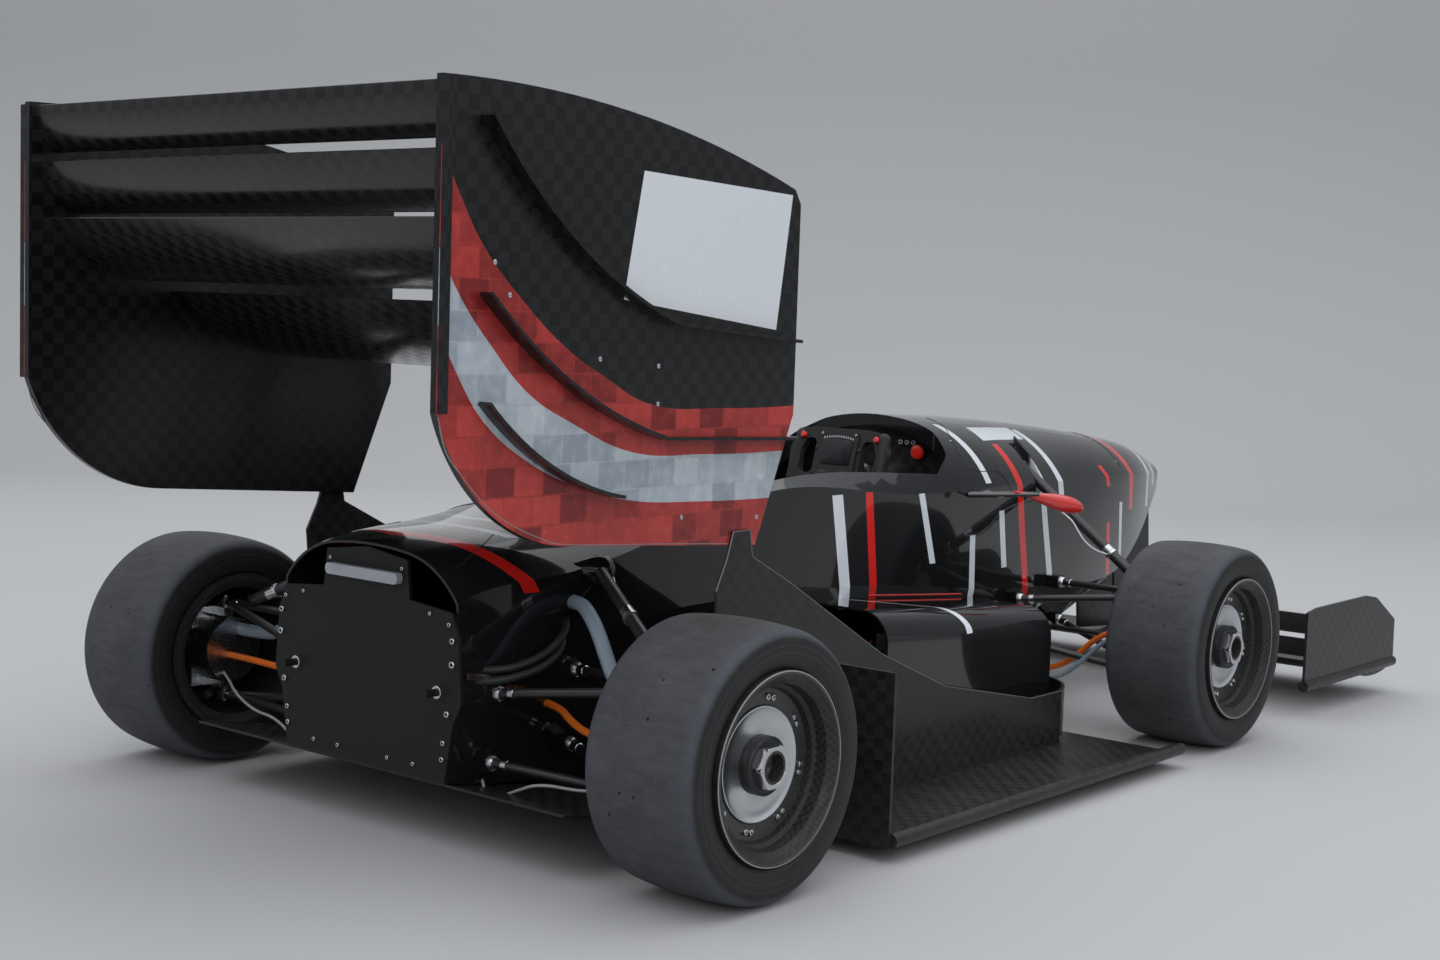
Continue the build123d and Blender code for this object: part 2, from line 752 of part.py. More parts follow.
def carrier(side, track, axle, steered):
    """Add one wheel carrier: plate, motor, stub axle, lugs with kingpins and, if steered, its arm."""
    centre_x = track / 2
    kingpin_x = centre_x - kingpin_offset
    with Locations(at(side * (centre_x - carrier_thickness / 2), axle, axle_height)):
        Box(carrier_thickness, 2 * carrier_half_width, 2 * carrier_half_height)
    bar(
        at(side * (centre_x - carrier_thickness - motor_length), axle, axle_height),
        at(side * (centre_x - carrier_thickness), axle, axle_height),
        motor_radius,
    )
    bar(
        at(side * centre_x, axle, axle_height),
        at(side * (centre_x + web_offset + web_thickness), axle, axle_height),
        stub_radius - running_gap,
    )
    lug_top = ball_height - eye_thickness / 2 - eye_gap
    lug_length = kingpin_offset + lug_half_width
    for way in (-1, 1):
        with Locations(at(side * (centre_x - lug_length / 2), axle,
                          axle_height + way * (lug_top - lug_depth / 2))):
            Box(lug_length, 2 * lug_half_width, lug_depth)
        bar(
            at(side * kingpin_x, axle, axle_height + way * (lug_top - 4)),
            at(side * kingpin_x, axle, axle_height + way * (ball_height + eye_thickness / 2 + 3)),
            kingpin_radius,
        )
    if steered:
        arm_z = axle_height - steering_arm_drop - steering_arm_thickness / 2
        plate(plan(arm_z - steering_arm_thickness / 2), (
            (side * centre_x, axle - 20),
            (side * centre_x, axle - carrier_half_width),
            (side * (kingpin_x + 8), axle - steering_arm_length - 9),
            (side * (kingpin_x - 9), axle - steering_arm_length - 9),
            (side * (kingpin_x - 9), axle - steering_arm_length + 9),
            (side * (centre_x - carrier_thickness), axle - 20),
        ), steering_arm_thickness)


for label, side in (("front_knuckle_left", 1), ("front_knuckle_right", -1)):
    with BuildPart() as knuckle:
        carrier(side, front_track, 0.0, True)
    save(knuckle, label)

with BuildPart() as rear_uprights:
    for side in (-1, 1):
        carrier(side, rear_track, wheelbase, False)
save(rear_uprights, "rear_uprights")

# Wheels: tyre and rim turned about the axle, u outwards from the tyre's middle
tyre_outline_top = tyre_radius - tread_drop
hub_steps = (
    (rim_half_width + rim_lip_width, 135.0),
    (rim_half_width + 4, 128.0),
    (rim_half_width - 2, 121.0),
    (76.0, 119.0),
    (72.0, 113.0),
    (62.0, 111.0),
    (web_offset + web_thickness, 100.0),
    (web_offset + web_thickness, wheel_centre_radius + 2),
    (web_offset + web_thickness - 3, wheel_centre_radius),
    (web_offset + web_thickness - 3, 56.0),
    (web_offset + web_thickness, nut_radius + 4),
)
for axle_name, track, axle in (("front", front_track, 0.0), ("rear", rear_track, wheelbase)):
    for side_name, side in (("left", 1), ("right", -1)):
        wheel_plane = Plane(
            origin=at(side * track / 2, axle, axle_height), x_dir=(side, 0, 0), z_dir=(0, -side, 0)
        )
        wheel_axis = Axis(wheel_plane.origin, (1, 0, 0))
        with BuildPart() as tyre:
            with BuildSketch(wheel_plane):
                with BuildLine():
                    Line((-rim_half_width, bead_radius), (rim_half_width, bead_radius))
                    Line((rim_half_width, bead_radius), (rim_half_width, rim_lip_radius))
                    ThreePointArc(
                        (rim_half_width, rim_lip_radius), (tyre_half_width, 166),
                        (tread_half_width + 8, tyre_outline_top - 8)
                    )
                    Line((tread_half_width + 8, tyre_outline_top - 8), (tread_half_width, tyre_outline_top))
                    ThreePointArc(
                        (tread_half_width, tyre_outline_top), (0, tyre_radius),
                        (-tread_half_width, tyre_outline_top)
                    )
                    Line((-tread_half_width, tyre_outline_top), (-tread_half_width - 8, tyre_outline_top - 8))
                    ThreePointArc(
                        (-tread_half_width - 8, tyre_outline_top - 8), (-tyre_half_width, 166),
                        (-rim_half_width, rim_lip_radius)
                    )
                    Line((-rim_half_width, rim_lip_radius), (-rim_half_width, bead_radius))
                make_face()
            revolve(axis=wheel_axis)
        save(tyre, f"tyre_{axle_name}_{side_name}")
        with BuildPart() as rim:
            with BuildSketch(wheel_plane):
                with BuildLine():
                    Polyline(
                        (rim_half_width, bead_radius),
                        (rim_half_width, rim_lip_radius),
                        (rim_half_width + rim_lip_width, rim_lip_radius),
                        *hub_steps,
                        (web_offset + web_thickness, stub_radius),
                        (web_offset - wheel_boss_depth, stub_radius),
                        (web_offset - wheel_boss_depth, wheel_boss_radius),
                        (web_offset, wheel_boss_radius),
                        (web_offset, 104.0),
                        (web_offset - 8, barrel_inner_radius),
                        (-rim_half_width, barrel_inner_radius),
                        (-rim_half_width - rim_lip_width, 130.0),
                        (-rim_half_width - rim_lip_width, rim_lip_radius),
                        (-rim_half_width, rim_lip_radius),
                        (-rim_half_width, bead_radius),
                        close=True,
                    )
                make_face()
            revolve(axis=wheel_axis)
            nut_plane = Plane(
                origin=at(side * (track / 2 + web_offset + web_thickness), axle, axle_height),
                x_dir=(0, 1, 0), z_dir=(side, 0, 0)
            )
            with BuildSketch(nut_plane):
                Circle(nut_radius)
                Circle(stub_radius, mode=Mode.SUBTRACT)
            extrude(amount=nut_height)
            with BuildSketch(nut_plane.offset(nut_height)):
                RegularPolygon(hex_across / 2, 6, major_radius=False)
                Circle(stub_radius, mode=Mode.SUBTRACT)
            extrude(amount=hex_height)
        save(rim, f"rim_{axle_name}_{side_name}")

# Steering wheel: half its outline from the top, half the outline of a hand hole, the ends of a grip
wheel_outline = ((84.0, 66.0), (116.0, 50.0), (122.0, -20.0), (104.0, -62.0), (62.0, -66.0))
hand_hole_corner = 12.0
wheel_block_corner = 10.0
wheel_hub_radius = 24.0
wheel_hub_length = 60.0
shaft_end = 320.0
hand_hole_outline = ((58.0, 34.0), (92.0, 30.0), (95.0, -14.0), (84.0, -42.0), (58.0, -42.0))
grip_top = (109.0, 44.0)
grip_low = (103.0, -50.0)

# Steering wheel with its shaft, the column tube round it, and the rack with its rods
wheel_face = Plane(origin=wheel_hub, x_dir=(1, 0, 0), z_dir=column_way)
with BuildPart() as steering_wheel:
    with BuildSketch(wheel_face.offset(-wheel_rim_depth / 2)):
        with BuildLine():
            right = [(x, z) for x, z in wheel_outline]
            left = [(-x, z) for x, z in reversed(wheel_outline)]
            FilletPolyline(*right, *left, radius=wheel_corner, close=True)
        make_face()
        for side in (-1, 1):
            with BuildLine(mode=Mode.PRIVATE) as hand_hole:
                FilletPolyline(*[(side * x, z) for x, z in hand_hole_outline], radius=hand_hole_corner,
                               close=True)
            make_face(hand_hole.line.edges(), mode=Mode.SUBTRACT)
    extrude(amount=wheel_rim_depth)
    with BuildSketch(wheel_face.offset(-wheel_block_depth / 2)):
        RectangleRounded(wheel_block_width, wheel_block_height, wheel_block_corner)
    extrude(amount=wheel_block_depth)
    for side in (-1, 1):
        top = wheel_hub + wheel_face.x_dir * (side * grip_top[0]) + wheel_face.y_dir * grip_top[1]
        low = wheel_hub + wheel_face.x_dir * (side * grip_low[0]) + wheel_face.y_dir * grip_low[1]
        bar(top, low, grip_radius)
        for end in (top, low):
            with Locations(end):
                Sphere(grip_radius)
    bar(wheel_hub, wheel_hub - column_way * wheel_hub_length, wheel_hub_radius)
    bar(wheel_hub - column_way * (wheel_hub_length - 10), wheel_hub - column_way * shaft_end, shaft_radius)
save(steering_wheel, "steering_wheel")

with BuildPart() as steering_column:
    bar(column_start, column_end, column_radius)
    bar(column_start, column_end, shaft_radius + running_gap, mode=Mode.SUBTRACT)
save(steering_column, "steering_column")

with BuildPart() as rack_housing:
    bar(at(-rack_housing_half_length, rack_y, rack_z), at(rack_housing_half_length, rack_y, rack_z),
        rack_housing_radius)
    for side in (-1, 1):
        with Locations(at(side * 70, rack_y, rack_z - 40)):
            Box(24, 2 * rack_housing_radius, 70)
    add(body_hollow.part, mode=Mode.INTERSECT)
    bar(at(-300, rack_y, rack_z), at(300, rack_y, rack_z), rack_bar_radius + running_gap, mode=Mode.SUBTRACT)
save(rack_housing, "rack_housing")

rod_end_x = front_track / 2 - kingpin_offset
with BuildPart() as steering_rack:
    bar(at(-rack_bar_half_length, rack_y, rack_z), at(rack_bar_half_length, rack_y, rack_z), rack_bar_radius)
    for side in (-1, 1):
        with Locations(at(side * rack_bar_half_length, rack_y, rack_z)):
            Sphere(rack_bar_radius + 4)
        bar(at(side * rack_bar_half_length, rack_y, rack_z), at(side * rod_end_x, rack_y, rack_z),
            tie_rod_radius)
        with Locations(at(side * rod_end_x, rack_y, rack_z)):
            Cylinder(rod_eye_radius, rod_eye_thickness)
save(steering_rack, "steering_rack")

# Mirrors on thin blades from the sides of the body: inner and outer end of each housing
mirror_inner = (350.0, 228.0, 493.0)
mirror_outer = (402.0, 128.0, 468.0)
mirror_blade_outline = ((200.0, 282.0), (200.0, 350.0), (352.0, 238.0), (358.0, 206.0))
with BuildPart() as mirrors:
    for side in (-1, 1):
        inner = Vector(*at(side * mirror_inner[0], *mirror_inner[1:]))
        outer = Vector(*at(side * mirror_outer[0], *mirror_outer[1:]))
        with BuildSketch(Plane(origin=inner, x_dir=(0, 0, 1), z_dir=outer - inner)) as housing:
            Ellipse(mirror_half_height, mirror_half_depth)
        extrude(housing.sketch, amount=(outer - inner).length)
        blade = [(side * x, y) for x, y in mirror_blade_outline]
        plate(plan(inner.Z - mirror_blade / 2), blade, mirror_blade)
    add(body_form.part, mode=Mode.SUBTRACT)
save(mirrors, "mirrors")

# Cables and hoses from the body to the rear wheel motors: x, y behind the front axle, z
motor_face = rear_track / 2 - carrier_thickness - motor_length
cable_route = (
    (190.0, 1476.0, 210.0), (262.0, 1480.0, 206.0), (310.0, 1494.0, 198.0), (370.0, 1516.0, 192.0),
    (440.0, 1533.0, 193.0), (490.0, 1538.0, 196.0), (motor_face, 1538.0, 196.0),
)
hose_route = (
    (205.0, 1442.0, 376.0), (264.0, 1456.0, 358.0), (298.0, 1476.0, 328.0), (338.0, 1499.0, 290.0),
    (400.0, 1514.0, 256.0), (466.0, 1511.0, 240.5), (motor_face, 1511.0, 240.5),
)
for label, route, radius in (
    ("motor_cables", cable_route, cable_radius),
    ("coolant_hoses", hose_route, hose_radius),
):
    with BuildPart() as lines:
        for side in (-1, 1):
            cord([at(side * x, y, z) for x, y, z in route], radius)
        add(body_form.part, mode=Mode.SUBTRACT)
    save(lines, label)
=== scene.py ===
"""The open wheel racing car in its finishes: striped lacquer, chequered carbon, worn slicks and bare metal.

Everything is in metres in the car's own frame: nose towards -Y, the car's left towards +X, Z up. Tables
give y as the distance behind the front axle in millimetres, and car() turns them into the frame.
"""
import math
from functools import partialmethod

import bmesh
import bpy
import numpy as np
from mathutils import Matrix, Vector
from mathutils.bvhtree import BVHTree


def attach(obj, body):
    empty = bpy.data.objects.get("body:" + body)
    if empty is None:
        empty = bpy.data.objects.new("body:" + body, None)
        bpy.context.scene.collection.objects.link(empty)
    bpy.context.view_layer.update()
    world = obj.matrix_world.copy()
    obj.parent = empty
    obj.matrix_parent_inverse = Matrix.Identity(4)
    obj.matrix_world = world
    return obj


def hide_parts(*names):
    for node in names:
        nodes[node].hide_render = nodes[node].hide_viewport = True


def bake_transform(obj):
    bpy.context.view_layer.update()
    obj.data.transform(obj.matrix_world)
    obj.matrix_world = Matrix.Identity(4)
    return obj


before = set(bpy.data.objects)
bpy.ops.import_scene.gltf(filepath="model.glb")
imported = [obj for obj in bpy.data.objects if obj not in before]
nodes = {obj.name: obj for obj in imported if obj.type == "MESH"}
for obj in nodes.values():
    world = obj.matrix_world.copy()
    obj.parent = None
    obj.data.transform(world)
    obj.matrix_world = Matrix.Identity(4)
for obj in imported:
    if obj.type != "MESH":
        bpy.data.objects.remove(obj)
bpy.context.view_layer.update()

# The front axle's Y, the rear axle's distance behind it and the height of both (mm)
FRONT_AXLE, REAR_AXLE, AXLE_HEIGHT = -540.0, 1530.0, 205.0
# Side, distance of the wheel's middle from the car's middle and distance of its axle (mm)
WHEELS = {
    "front_left": (1, 600.0, 0.0), "front_right": (-1, 600.0, 0.0),
    "rear_left": (1, 620.0, REAR_AXLE), "rear_right": (-1, 620.0, REAR_AXLE),
}
SIDES = ((1, "left"), (-1, "right"))
UP, DOWN, BACK = (0, 0, 1), (0, 0, -1), (0, 1, 0)
RIGHT = math.radians(90)
SMOOTH = math.radians(35)


def car(points, flip=1):
    """Rows of x, distance behind the front axle and height in millimetres, as points in metres; a flip
    of -1 mirrors them to the car's other side."""
    return (np.asarray(points, float) + (0.0, FRONT_AXLE, 0.0)) / 1000.0 * (flip, 1.0, 1.0)


def along(distance):
    """A distance behind the front axle in millimetres, as a Y in metres."""
    return (distance + FRONT_AXLE) / 1000.0


# Nodes


class Net:
    """Lays shader nodes in one tree; a socket given as a value is linked, anything else is set."""

    def __init__(self, tree):
        self.tree = tree

    def put(self, socket, value):
        """Links or sets a socket; a colour is three numbers, or one for a grey."""
        if isinstance(value, bpy.types.NodeSocket):
            self.tree.links.new(value, socket)
        elif socket.type == "RGBA":
            socket.default_value = (*np.broadcast_to(value, 3).tolist(), 1.0)
        else:
            socket.default_value = value

    def add(self, kind, values=None, **settings):
        made = self.tree.nodes.new("ShaderNode" + kind)
        for name, value in settings.items():
            setattr(made, name, value)
        for name, value in (values or {}).items():
            self.put(made.inputs[name], value)
        return made

    def use(self, tree, values):
        """The outputs of a node group that is fed with values."""
        return self.add("Group", values, node_tree=tree).outputs

    def calc(self, operation, *values, clamp=False):
        """One sum of a Math node."""
        return self.add("Math", dict(enumerate(values)), operation=operation, use_clamp=clamp).outputs[0]

    plus = partialmethod(calc, "ADD")
    minus = partialmethod(calc, "SUBTRACT")
    times = partialmethod(calc, "MULTIPLY")
    # The first value times the second, plus the third
    line = partialmethod(calc, "MULTIPLY_ADD")
    size = partialmethod(calc, "ABSOLUTE")
    most = partialmethod(calc, "MAXIMUM")
    above = partialmethod(calc, "GREATER_THAN")
    below = partialmethod(calc, "LESS_THAN")

    def ramp(self, value, low, high):
        """From nought at low to one at high, and held beyond them."""
        return self.add("MapRange", {0: value, 1: low, 2: high}).outputs[0]

    def band(self, value, low, high, soft=0.0003):
        """One between low and high, nought outside, with edges soft wide."""
        rise = self.ramp(value, low - soft, low + soft)
        return self.calc("SUBTRACT", rise, self.ramp(value, high - soft, high + soft), clamp=True)

    def blend(self, share, first, second):
        """The first colour where share is nought, the second where it is one."""
        return self.add("Mix", {0: share, 6: first, 7: second}, data_type="RGBA").outputs[2]

    def parts(self, vector):
        return self.add("SeparateXYZ", {0: vector}).outputs

    def vector(self, **ends):
        """A vector from some of x, y and z."""
        return self.add("CombineXYZ", {name.upper(): value for name, value in ends.items()}).outputs[0]

    def spot(self):
        """Object coordinates, whole and in parts."""
        where = self.add("TexCoord").outputs["Object"]
        return where, self.parts(where)

    def facing(self):
        """Object coordinates flattened on the plane that a face looks along most, as a vector of two."""
        given = self.add("TexCoord").outputs
        where = self.parts(given["Object"])
        ways = self.parts(self.add("VectorMath", {0: given["Normal"]}, operation="ABSOLUTE").outputs[0])
        side = self.above(ways[0], self.most(ways[1], ways[2]))
        end = self.times(self.above(ways[1], ways[2]), self.minus(1.0, side))
        first = self.line(side, self.minus(where[1], where[0]), where[0])
        second = self.line(self.plus(side, end), self.minus(where[2], where[1]), where[1])
        return self.vector(x=first, y=second)

    def noise(self, where, scale=1.0, detail=2.0, rough=0.5, stretch=None):
        """Noise over a place, which may be stretched first."""
        if stretch:
            where = self.add("VectorMath", {0: where, 1: stretch}, operation="MULTIPLY").outputs[0]
        values = {"Vector": where, "Scale": scale, "Detail": detail, "Roughness": rough}
        return self.add("TexNoise", values).outputs[0]

    def dots(self, where, scale, edge, core, least):
        """Round dots at the cores of those Voronoi cells whose random tone is over least: one where the
        distance from the core is under core, nought beyond edge."""
        cells = self.add("TexVoronoi", {"Vector": where, "Scale": scale}).outputs
        tone = self.add("SeparateColor", {0: cells["Color"]}).outputs[0]
        return self.times(self.ramp(cells["Distance"], edge, core), self.above(tone, least))


class Finish(Net):
    """A material with one Principled BSDF and the nodes that feed it."""

    def __init__(self, name, colour=0.5, rough=0.5, metal=0.0, coat=0.0, coat_rough=0.05,
                 specular=0.5, coat_ior=1.5):
        self.material = bpy.data.materials.new(name)
        self.material.use_nodes = True
        super().__init__(self.material.node_tree)
        self.shader = self.tree.nodes["Principled BSDF"]
        self.feed("Base Color", colour)
        self.feed("Roughness", rough)
        self.feed("Metallic", metal)
        self.feed("Coat Weight", coat)
        self.feed("Coat Roughness", coat_rough)
        self.feed("Coat IOR", coat_ior)
        self.feed("Specular IOR Level", specular)

    def feed(self, socket, value):
        self.put(self.shader.inputs[socket], value)

    def relief(self, height, strength, depth=0.0003):
        """A bump of the shader's surface."""
        values = {"Height": height, "Strength": strength, "Distance": depth}
        self.feed("Normal", self.add("Bump", values).outputs[0])


def group(name, inputs, outputs):
    """A node group with its sockets; returns the tree, its net, its inputs and its outputs by name."""
    tree = bpy.data.node_groups.new(name, "ShaderNodeTree")
    for label, kind, value in inputs:
        socket = tree.interface.new_socket(label, in_out="INPUT", socket_type="NodeSocket" + kind)
        if value is not None:
            socket.default_value = value
    for label, kind in outputs:
        tree.interface.new_socket(label, in_out="OUTPUT", socket_type="NodeSocket" + kind)
    return tree, Net(tree), tree.nodes.new("NodeGroupInput").outputs, tree.nodes.new("NodeGroupOutput").inputs


def make_chequer():
    """Spread tow carbon: squares whose fibres run crosswise by turns, each a little lighter or darker."""
    tree, net, given, out = group(
        "spread tow chequer",
        (("Vector", "Vector", None), ("Square", "Float", 0.018),
         ("Dark", "Color", (0.004, 0.004, 0.0045, 1.0)), ("Light", "Color", (0.014, 0.0145, 0.016, 1.0))),
        (("Color", "Color"), ("Roughness", "Float"), ("Height", "Float")),
    )
    square = net.vector(x=given["Square"], y=given["Square"], z=given["Square"])
    cells = net.add("VectorMath", {0: given["Vector"], 1: square}, operation="DIVIDE").outputs[0]
    parts = net.parts(cells)
    odd = net.calc("MODULO", net.plus(net.calc("FLOOR", parts[0]), net.calc("FLOOR", parts[1])), 2.0)
    odd = net.size(odd)
    one_way = net.noise(cells, detail=1.0, stretch=(60.0, 1.2, 1.0))
    other_way = net.noise(cells, detail=1.0, stretch=(1.2, 60.0, 1.0))
    strand = net.add("Mix", {0: odd, 2: one_way, 3: other_way}).outputs[0]
    tone = net.line(net.minus(strand, 0.5), 0.5, odd, clamp=True)
    net.put(out["Color"], net.blend(tone, given["Dark"], given["Light"]))
    net.put(out["Roughness"], net.line(odd, 0.1, net.line(strand, 0.12, 0.2)))
    net.put(out["Height"], strand)
    return tree


def make_dust():
    """Handling marks from nought to one: broad cloudy dust times faint wipe streaks."""
    tree, net, given, out = group(
        "dust and wipe marks", (("Vector", "Vector", None), ("Amount", "Float", 0.3)), (("Mask", "Float"),))
    cloud = net.noise(given["Vector"], 7.0, 5.0, 0.6)
    streak = net.noise(given["Vector"], detail=3.0, stretch=(6.0, 40.0, 90.0))
    net.put(out["Mask"], net.times(net.times(cloud, streak), net.times(given["Amount"], 2.2)))
    return tree


# The height at which a stripe's distance is given (m)
STRIPE_LEVEL = 0.5


def make_stripe():
    """One painted stripe: a band along the car that leans with height, between two heights."""
    tree, net, given, out = group(
        "leaning stripe",
        (("Along", "Float", 0.0), ("Height", "Float", 0.0), ("Centre", "Float", 0.0), ("Lean", "Float", 0.0),
         ("Half", "Float", 0.01), ("Low", "Float", 0.0), ("High", "Float", 1.0)),
        (("Mask", "Float"),),
    )
    middle = net.line(net.minus(given["Height"], STRIPE_LEVEL), given["Lean"], given["Centre"])
    inside = net.below(net.size(net.minus(given["Along"], middle)), given["Half"])
    tall = net.times(net.above(given["Height"], given["Low"]), net.below(given["Height"], given["High"]))
    net.put(out["Mask"], net.times(inside, tall))
    return tree


CHEQUER = make_chequer()
DUST = make_dust()
STRIPE = make_stripe()

WHITE = (0.72, 0.76, 0.80)
RED = (0.70, 0.018, 0.012)
BLACK = (0.008, 0.008, 0.009)

# Stripes on the body: distance at STRIPE_LEVEL, lean, width, lowest and highest point (mm)
WHITE_STRIPES = (
    (231, 0.2, 24, 512, 626), (785, 0.22, 33, 300, 518), (504, 0.40, 21, 364, 506),
    (304, 0.08, 22, 276, 409), (184, 0.18, 23, 331, 452), (-22, 0.2, 27, 297, 574),
    (-118, 0.2, 26, 463, 604), (-464, 0.13, 19, 292, 429), (-707, 0.1, 26, 400, 560),
    (-792, 0.2, 19, 446, 560), (1124, 0.6, 20, 333, 372),
)
RED_STRIPES = (
    (685, 0.17, 24, 300, 518), (92, 0.175, 27, 240, 584), (-373, 0.47, 19, 470, 519),
    (-384, 0.09, 20, 264, 387), (-538, 0.14, 28, 405, 600),
)
# Bands that bow across the rear cover: which colour, centre on its crown, width and lowest point (mm)
COVER_ARCS = ((1, 1621, 30, 399), (0, 1522, 18, 474), (0, 1452, 15, 486))
COVER_FRONT, COVER_CROWN = 1345, 0.478
# The white board on either side of the nose: its sides (m), ends (mm), slant and least height (m)
NOSE_BOARD = {"sides": (0.100, 0.146), "ends": (-78, 144), "middle": 30, "slant": -0.16, "least": 0.58}
# The sidepod's stripe: its distance (mm) where the side is as given, its slant, where it stops slanting,
# half its width and its least height (m)
POD_STRIPE = {"middle": 770, "side": 0.25, "slant": -0.79, "end": 0.445, "half": 0.0105, "least": 0.268}


def make_lacquer(name, whites=(), reds=(), arcs=(), board=False, pod=False):
    """Black lacquer over carbon with its painted stripes, a faint orange peel and handling marks; board
    adds a blank white board on either side of the nose, pod one stripe that slants over a sidepod."""
    net = Finish(name, rough=0.12, coat=1.0, coat_rough=0.02, specular=0.08, coat_ior=1.36)
    where, parts = net.spot()
    side = net.size(parts[0])
    masks = []
    for rows in (whites, reds):
        total = 0.0
        for centre, lean, width, low, high in rows:
            total = net.most(total, net.use(STRIPE, {
                "Along": parts[1], "Height": parts[2], "Centre": along(centre), "Lean": lean,
                "Half": width / 2000, "Low": low / 1000, "High": high / 1000,
            })["Mask"])
        masks.append(total)
    if board:
        skew = net.line(net.minus(parts[1], along(NOSE_BOARD["middle"])), NOSE_BOARD["slant"], side)
        front, rear = (along(end) for end in NOSE_BOARD["ends"])
        shape = net.times(net.band(skew, *NOSE_BOARD["sides"]), net.band(parts[1], front, rear))
        masks[0] = net.most(masks[0], net.times(shape, net.above(parts[2], NOSE_BOARD["least"])))
    for which, centre, width, low in arcs:
        bow = net.line(side, -0.2, net.times(net.minus(parts[2], COVER_CROWN), 0.55))
        gap = net.size(net.minus(net.minus(parts[1], bow), along(centre)))
        arc = net.times(net.below(gap, width / 2000), net.above(parts[2], low / 1000))
        masks[which] = net.most(masks[which], net.times(arc, net.above(parts[1], along(COVER_FRONT))))
    if pod:
        out = net.minus(net.calc("MINIMUM", side, POD_STRIPE["end"]), POD_STRIPE["side"])
        gap = net.size(net.minus(parts[1], net.line(out, POD_STRIPE["slant"], along(POD_STRIPE["middle"]))))
        masks[0] = net.times(net.below(gap, POD_STRIPE["half"]), net.above(parts[2], POD_STRIPE["least"]))
    dust = net.use(DUST, {"Vector": where, "Amount": 0.16})["Mask"]
    weave = net.use(CHEQUER, {"Vector": net.facing(), "Square": 0.016})["Color"]
    dark = net.blend(dust, net.blend(0.85, weave, BLACK), (0.03, 0.03, 0.032))
    net.feed("Base Color", net.blend(masks[1], net.blend(masks[0], dark, WHITE), RED))
    net.feed("Roughness", net.line(dust, 0.25, 0.1))
    peel = net.times(net.noise(where, 260.0, 1.0), 0.12)
    net.relief(net.plus(net.most(*masks), peel), 0.25, 0.0002)
    return net.material


def make_carbon(name, square=0.018, dust=0.2, rough=0.0, light=0.011, coat=0.2):
    """Satin spread tow carbon whose squares lie in the plane that each face looks along."""
    net = Finish(name, rough=0.3, coat=coat, coat_rough=0.15, specular=0.28, coat_ior=1.4)
    weave = net.use(CHEQUER, {"Vector": net.facing(), "Square": square, "Dark": 0.003,
                              "Light": (light, light, light * 1.1)})
    marks = net.use(DUST, {"Vector": net.spot()[0], "Amount": dust})["Mask"]
    net.feed("Base Color", net.blend(marks, weave["Color"], (0.07, 0.067, 0.062)))
    net.feed("Roughness", net.plus(net.plus(weave["Roughness"], rough), net.times(marks, 0.5)))
    net.relief(weave["Height"], 0.1, 0.0002)
    return net.material


def make_metal(name, colour, rough):
    """Machined metal: fine noise in its roughness and bump."""
    net = Finish(name, colour, rough, metal=1.0)
    grain = net.noise(net.spot()[0], 300.0, 3.0)
    net.feed("Roughness", net.line(grain, rough * 0.8, rough * 0.6))
    net.relief(grain, 0.05)
    return net.material


def make_plain(name, colour, rough, coat=0.0, scale=350.0, bump=0.15, spread=0.2, specular=0.5):
    """A moulded or painted surface: slight changes of tone and a fine grain."""
    net = Finish(name, rough=rough, coat=coat, specular=specular)
    where = net.spot()[0]
    cloud = net.noise(where, 18.0, 4.0)
    colour = np.array(colour)
    net.feed("Base Color", net.blend(cloud, colour * (1 - spread), np.minimum(1.0, colour * (1 + spread))))
    net.feed("Roughness", net.line(cloud, 0.15, rough - 0.05))
    net.relief(net.noise(where, scale), bump)
    return net.material


def wheel_spot(net):
    """Object coordinates, the distance from the car's middle, the distances behind and above the axle of
    the wheel that a point is on, and the radius from that axle."""
    where, parts = net.spot()
    between_axles = 0.2
    axle = net.line(net.above(parts[1], between_axles), REAR_AXLE / 1000, along(0))
    behind = net.minus(parts[1], axle)
    over = net.minus(parts[2], AXLE_HEIGHT / 1000)
    radius = net.calc("SQRT", net.plus(net.times(behind, behind), net.times(over, over)))
    return where, net.size(parts[0]), behind, over, radius


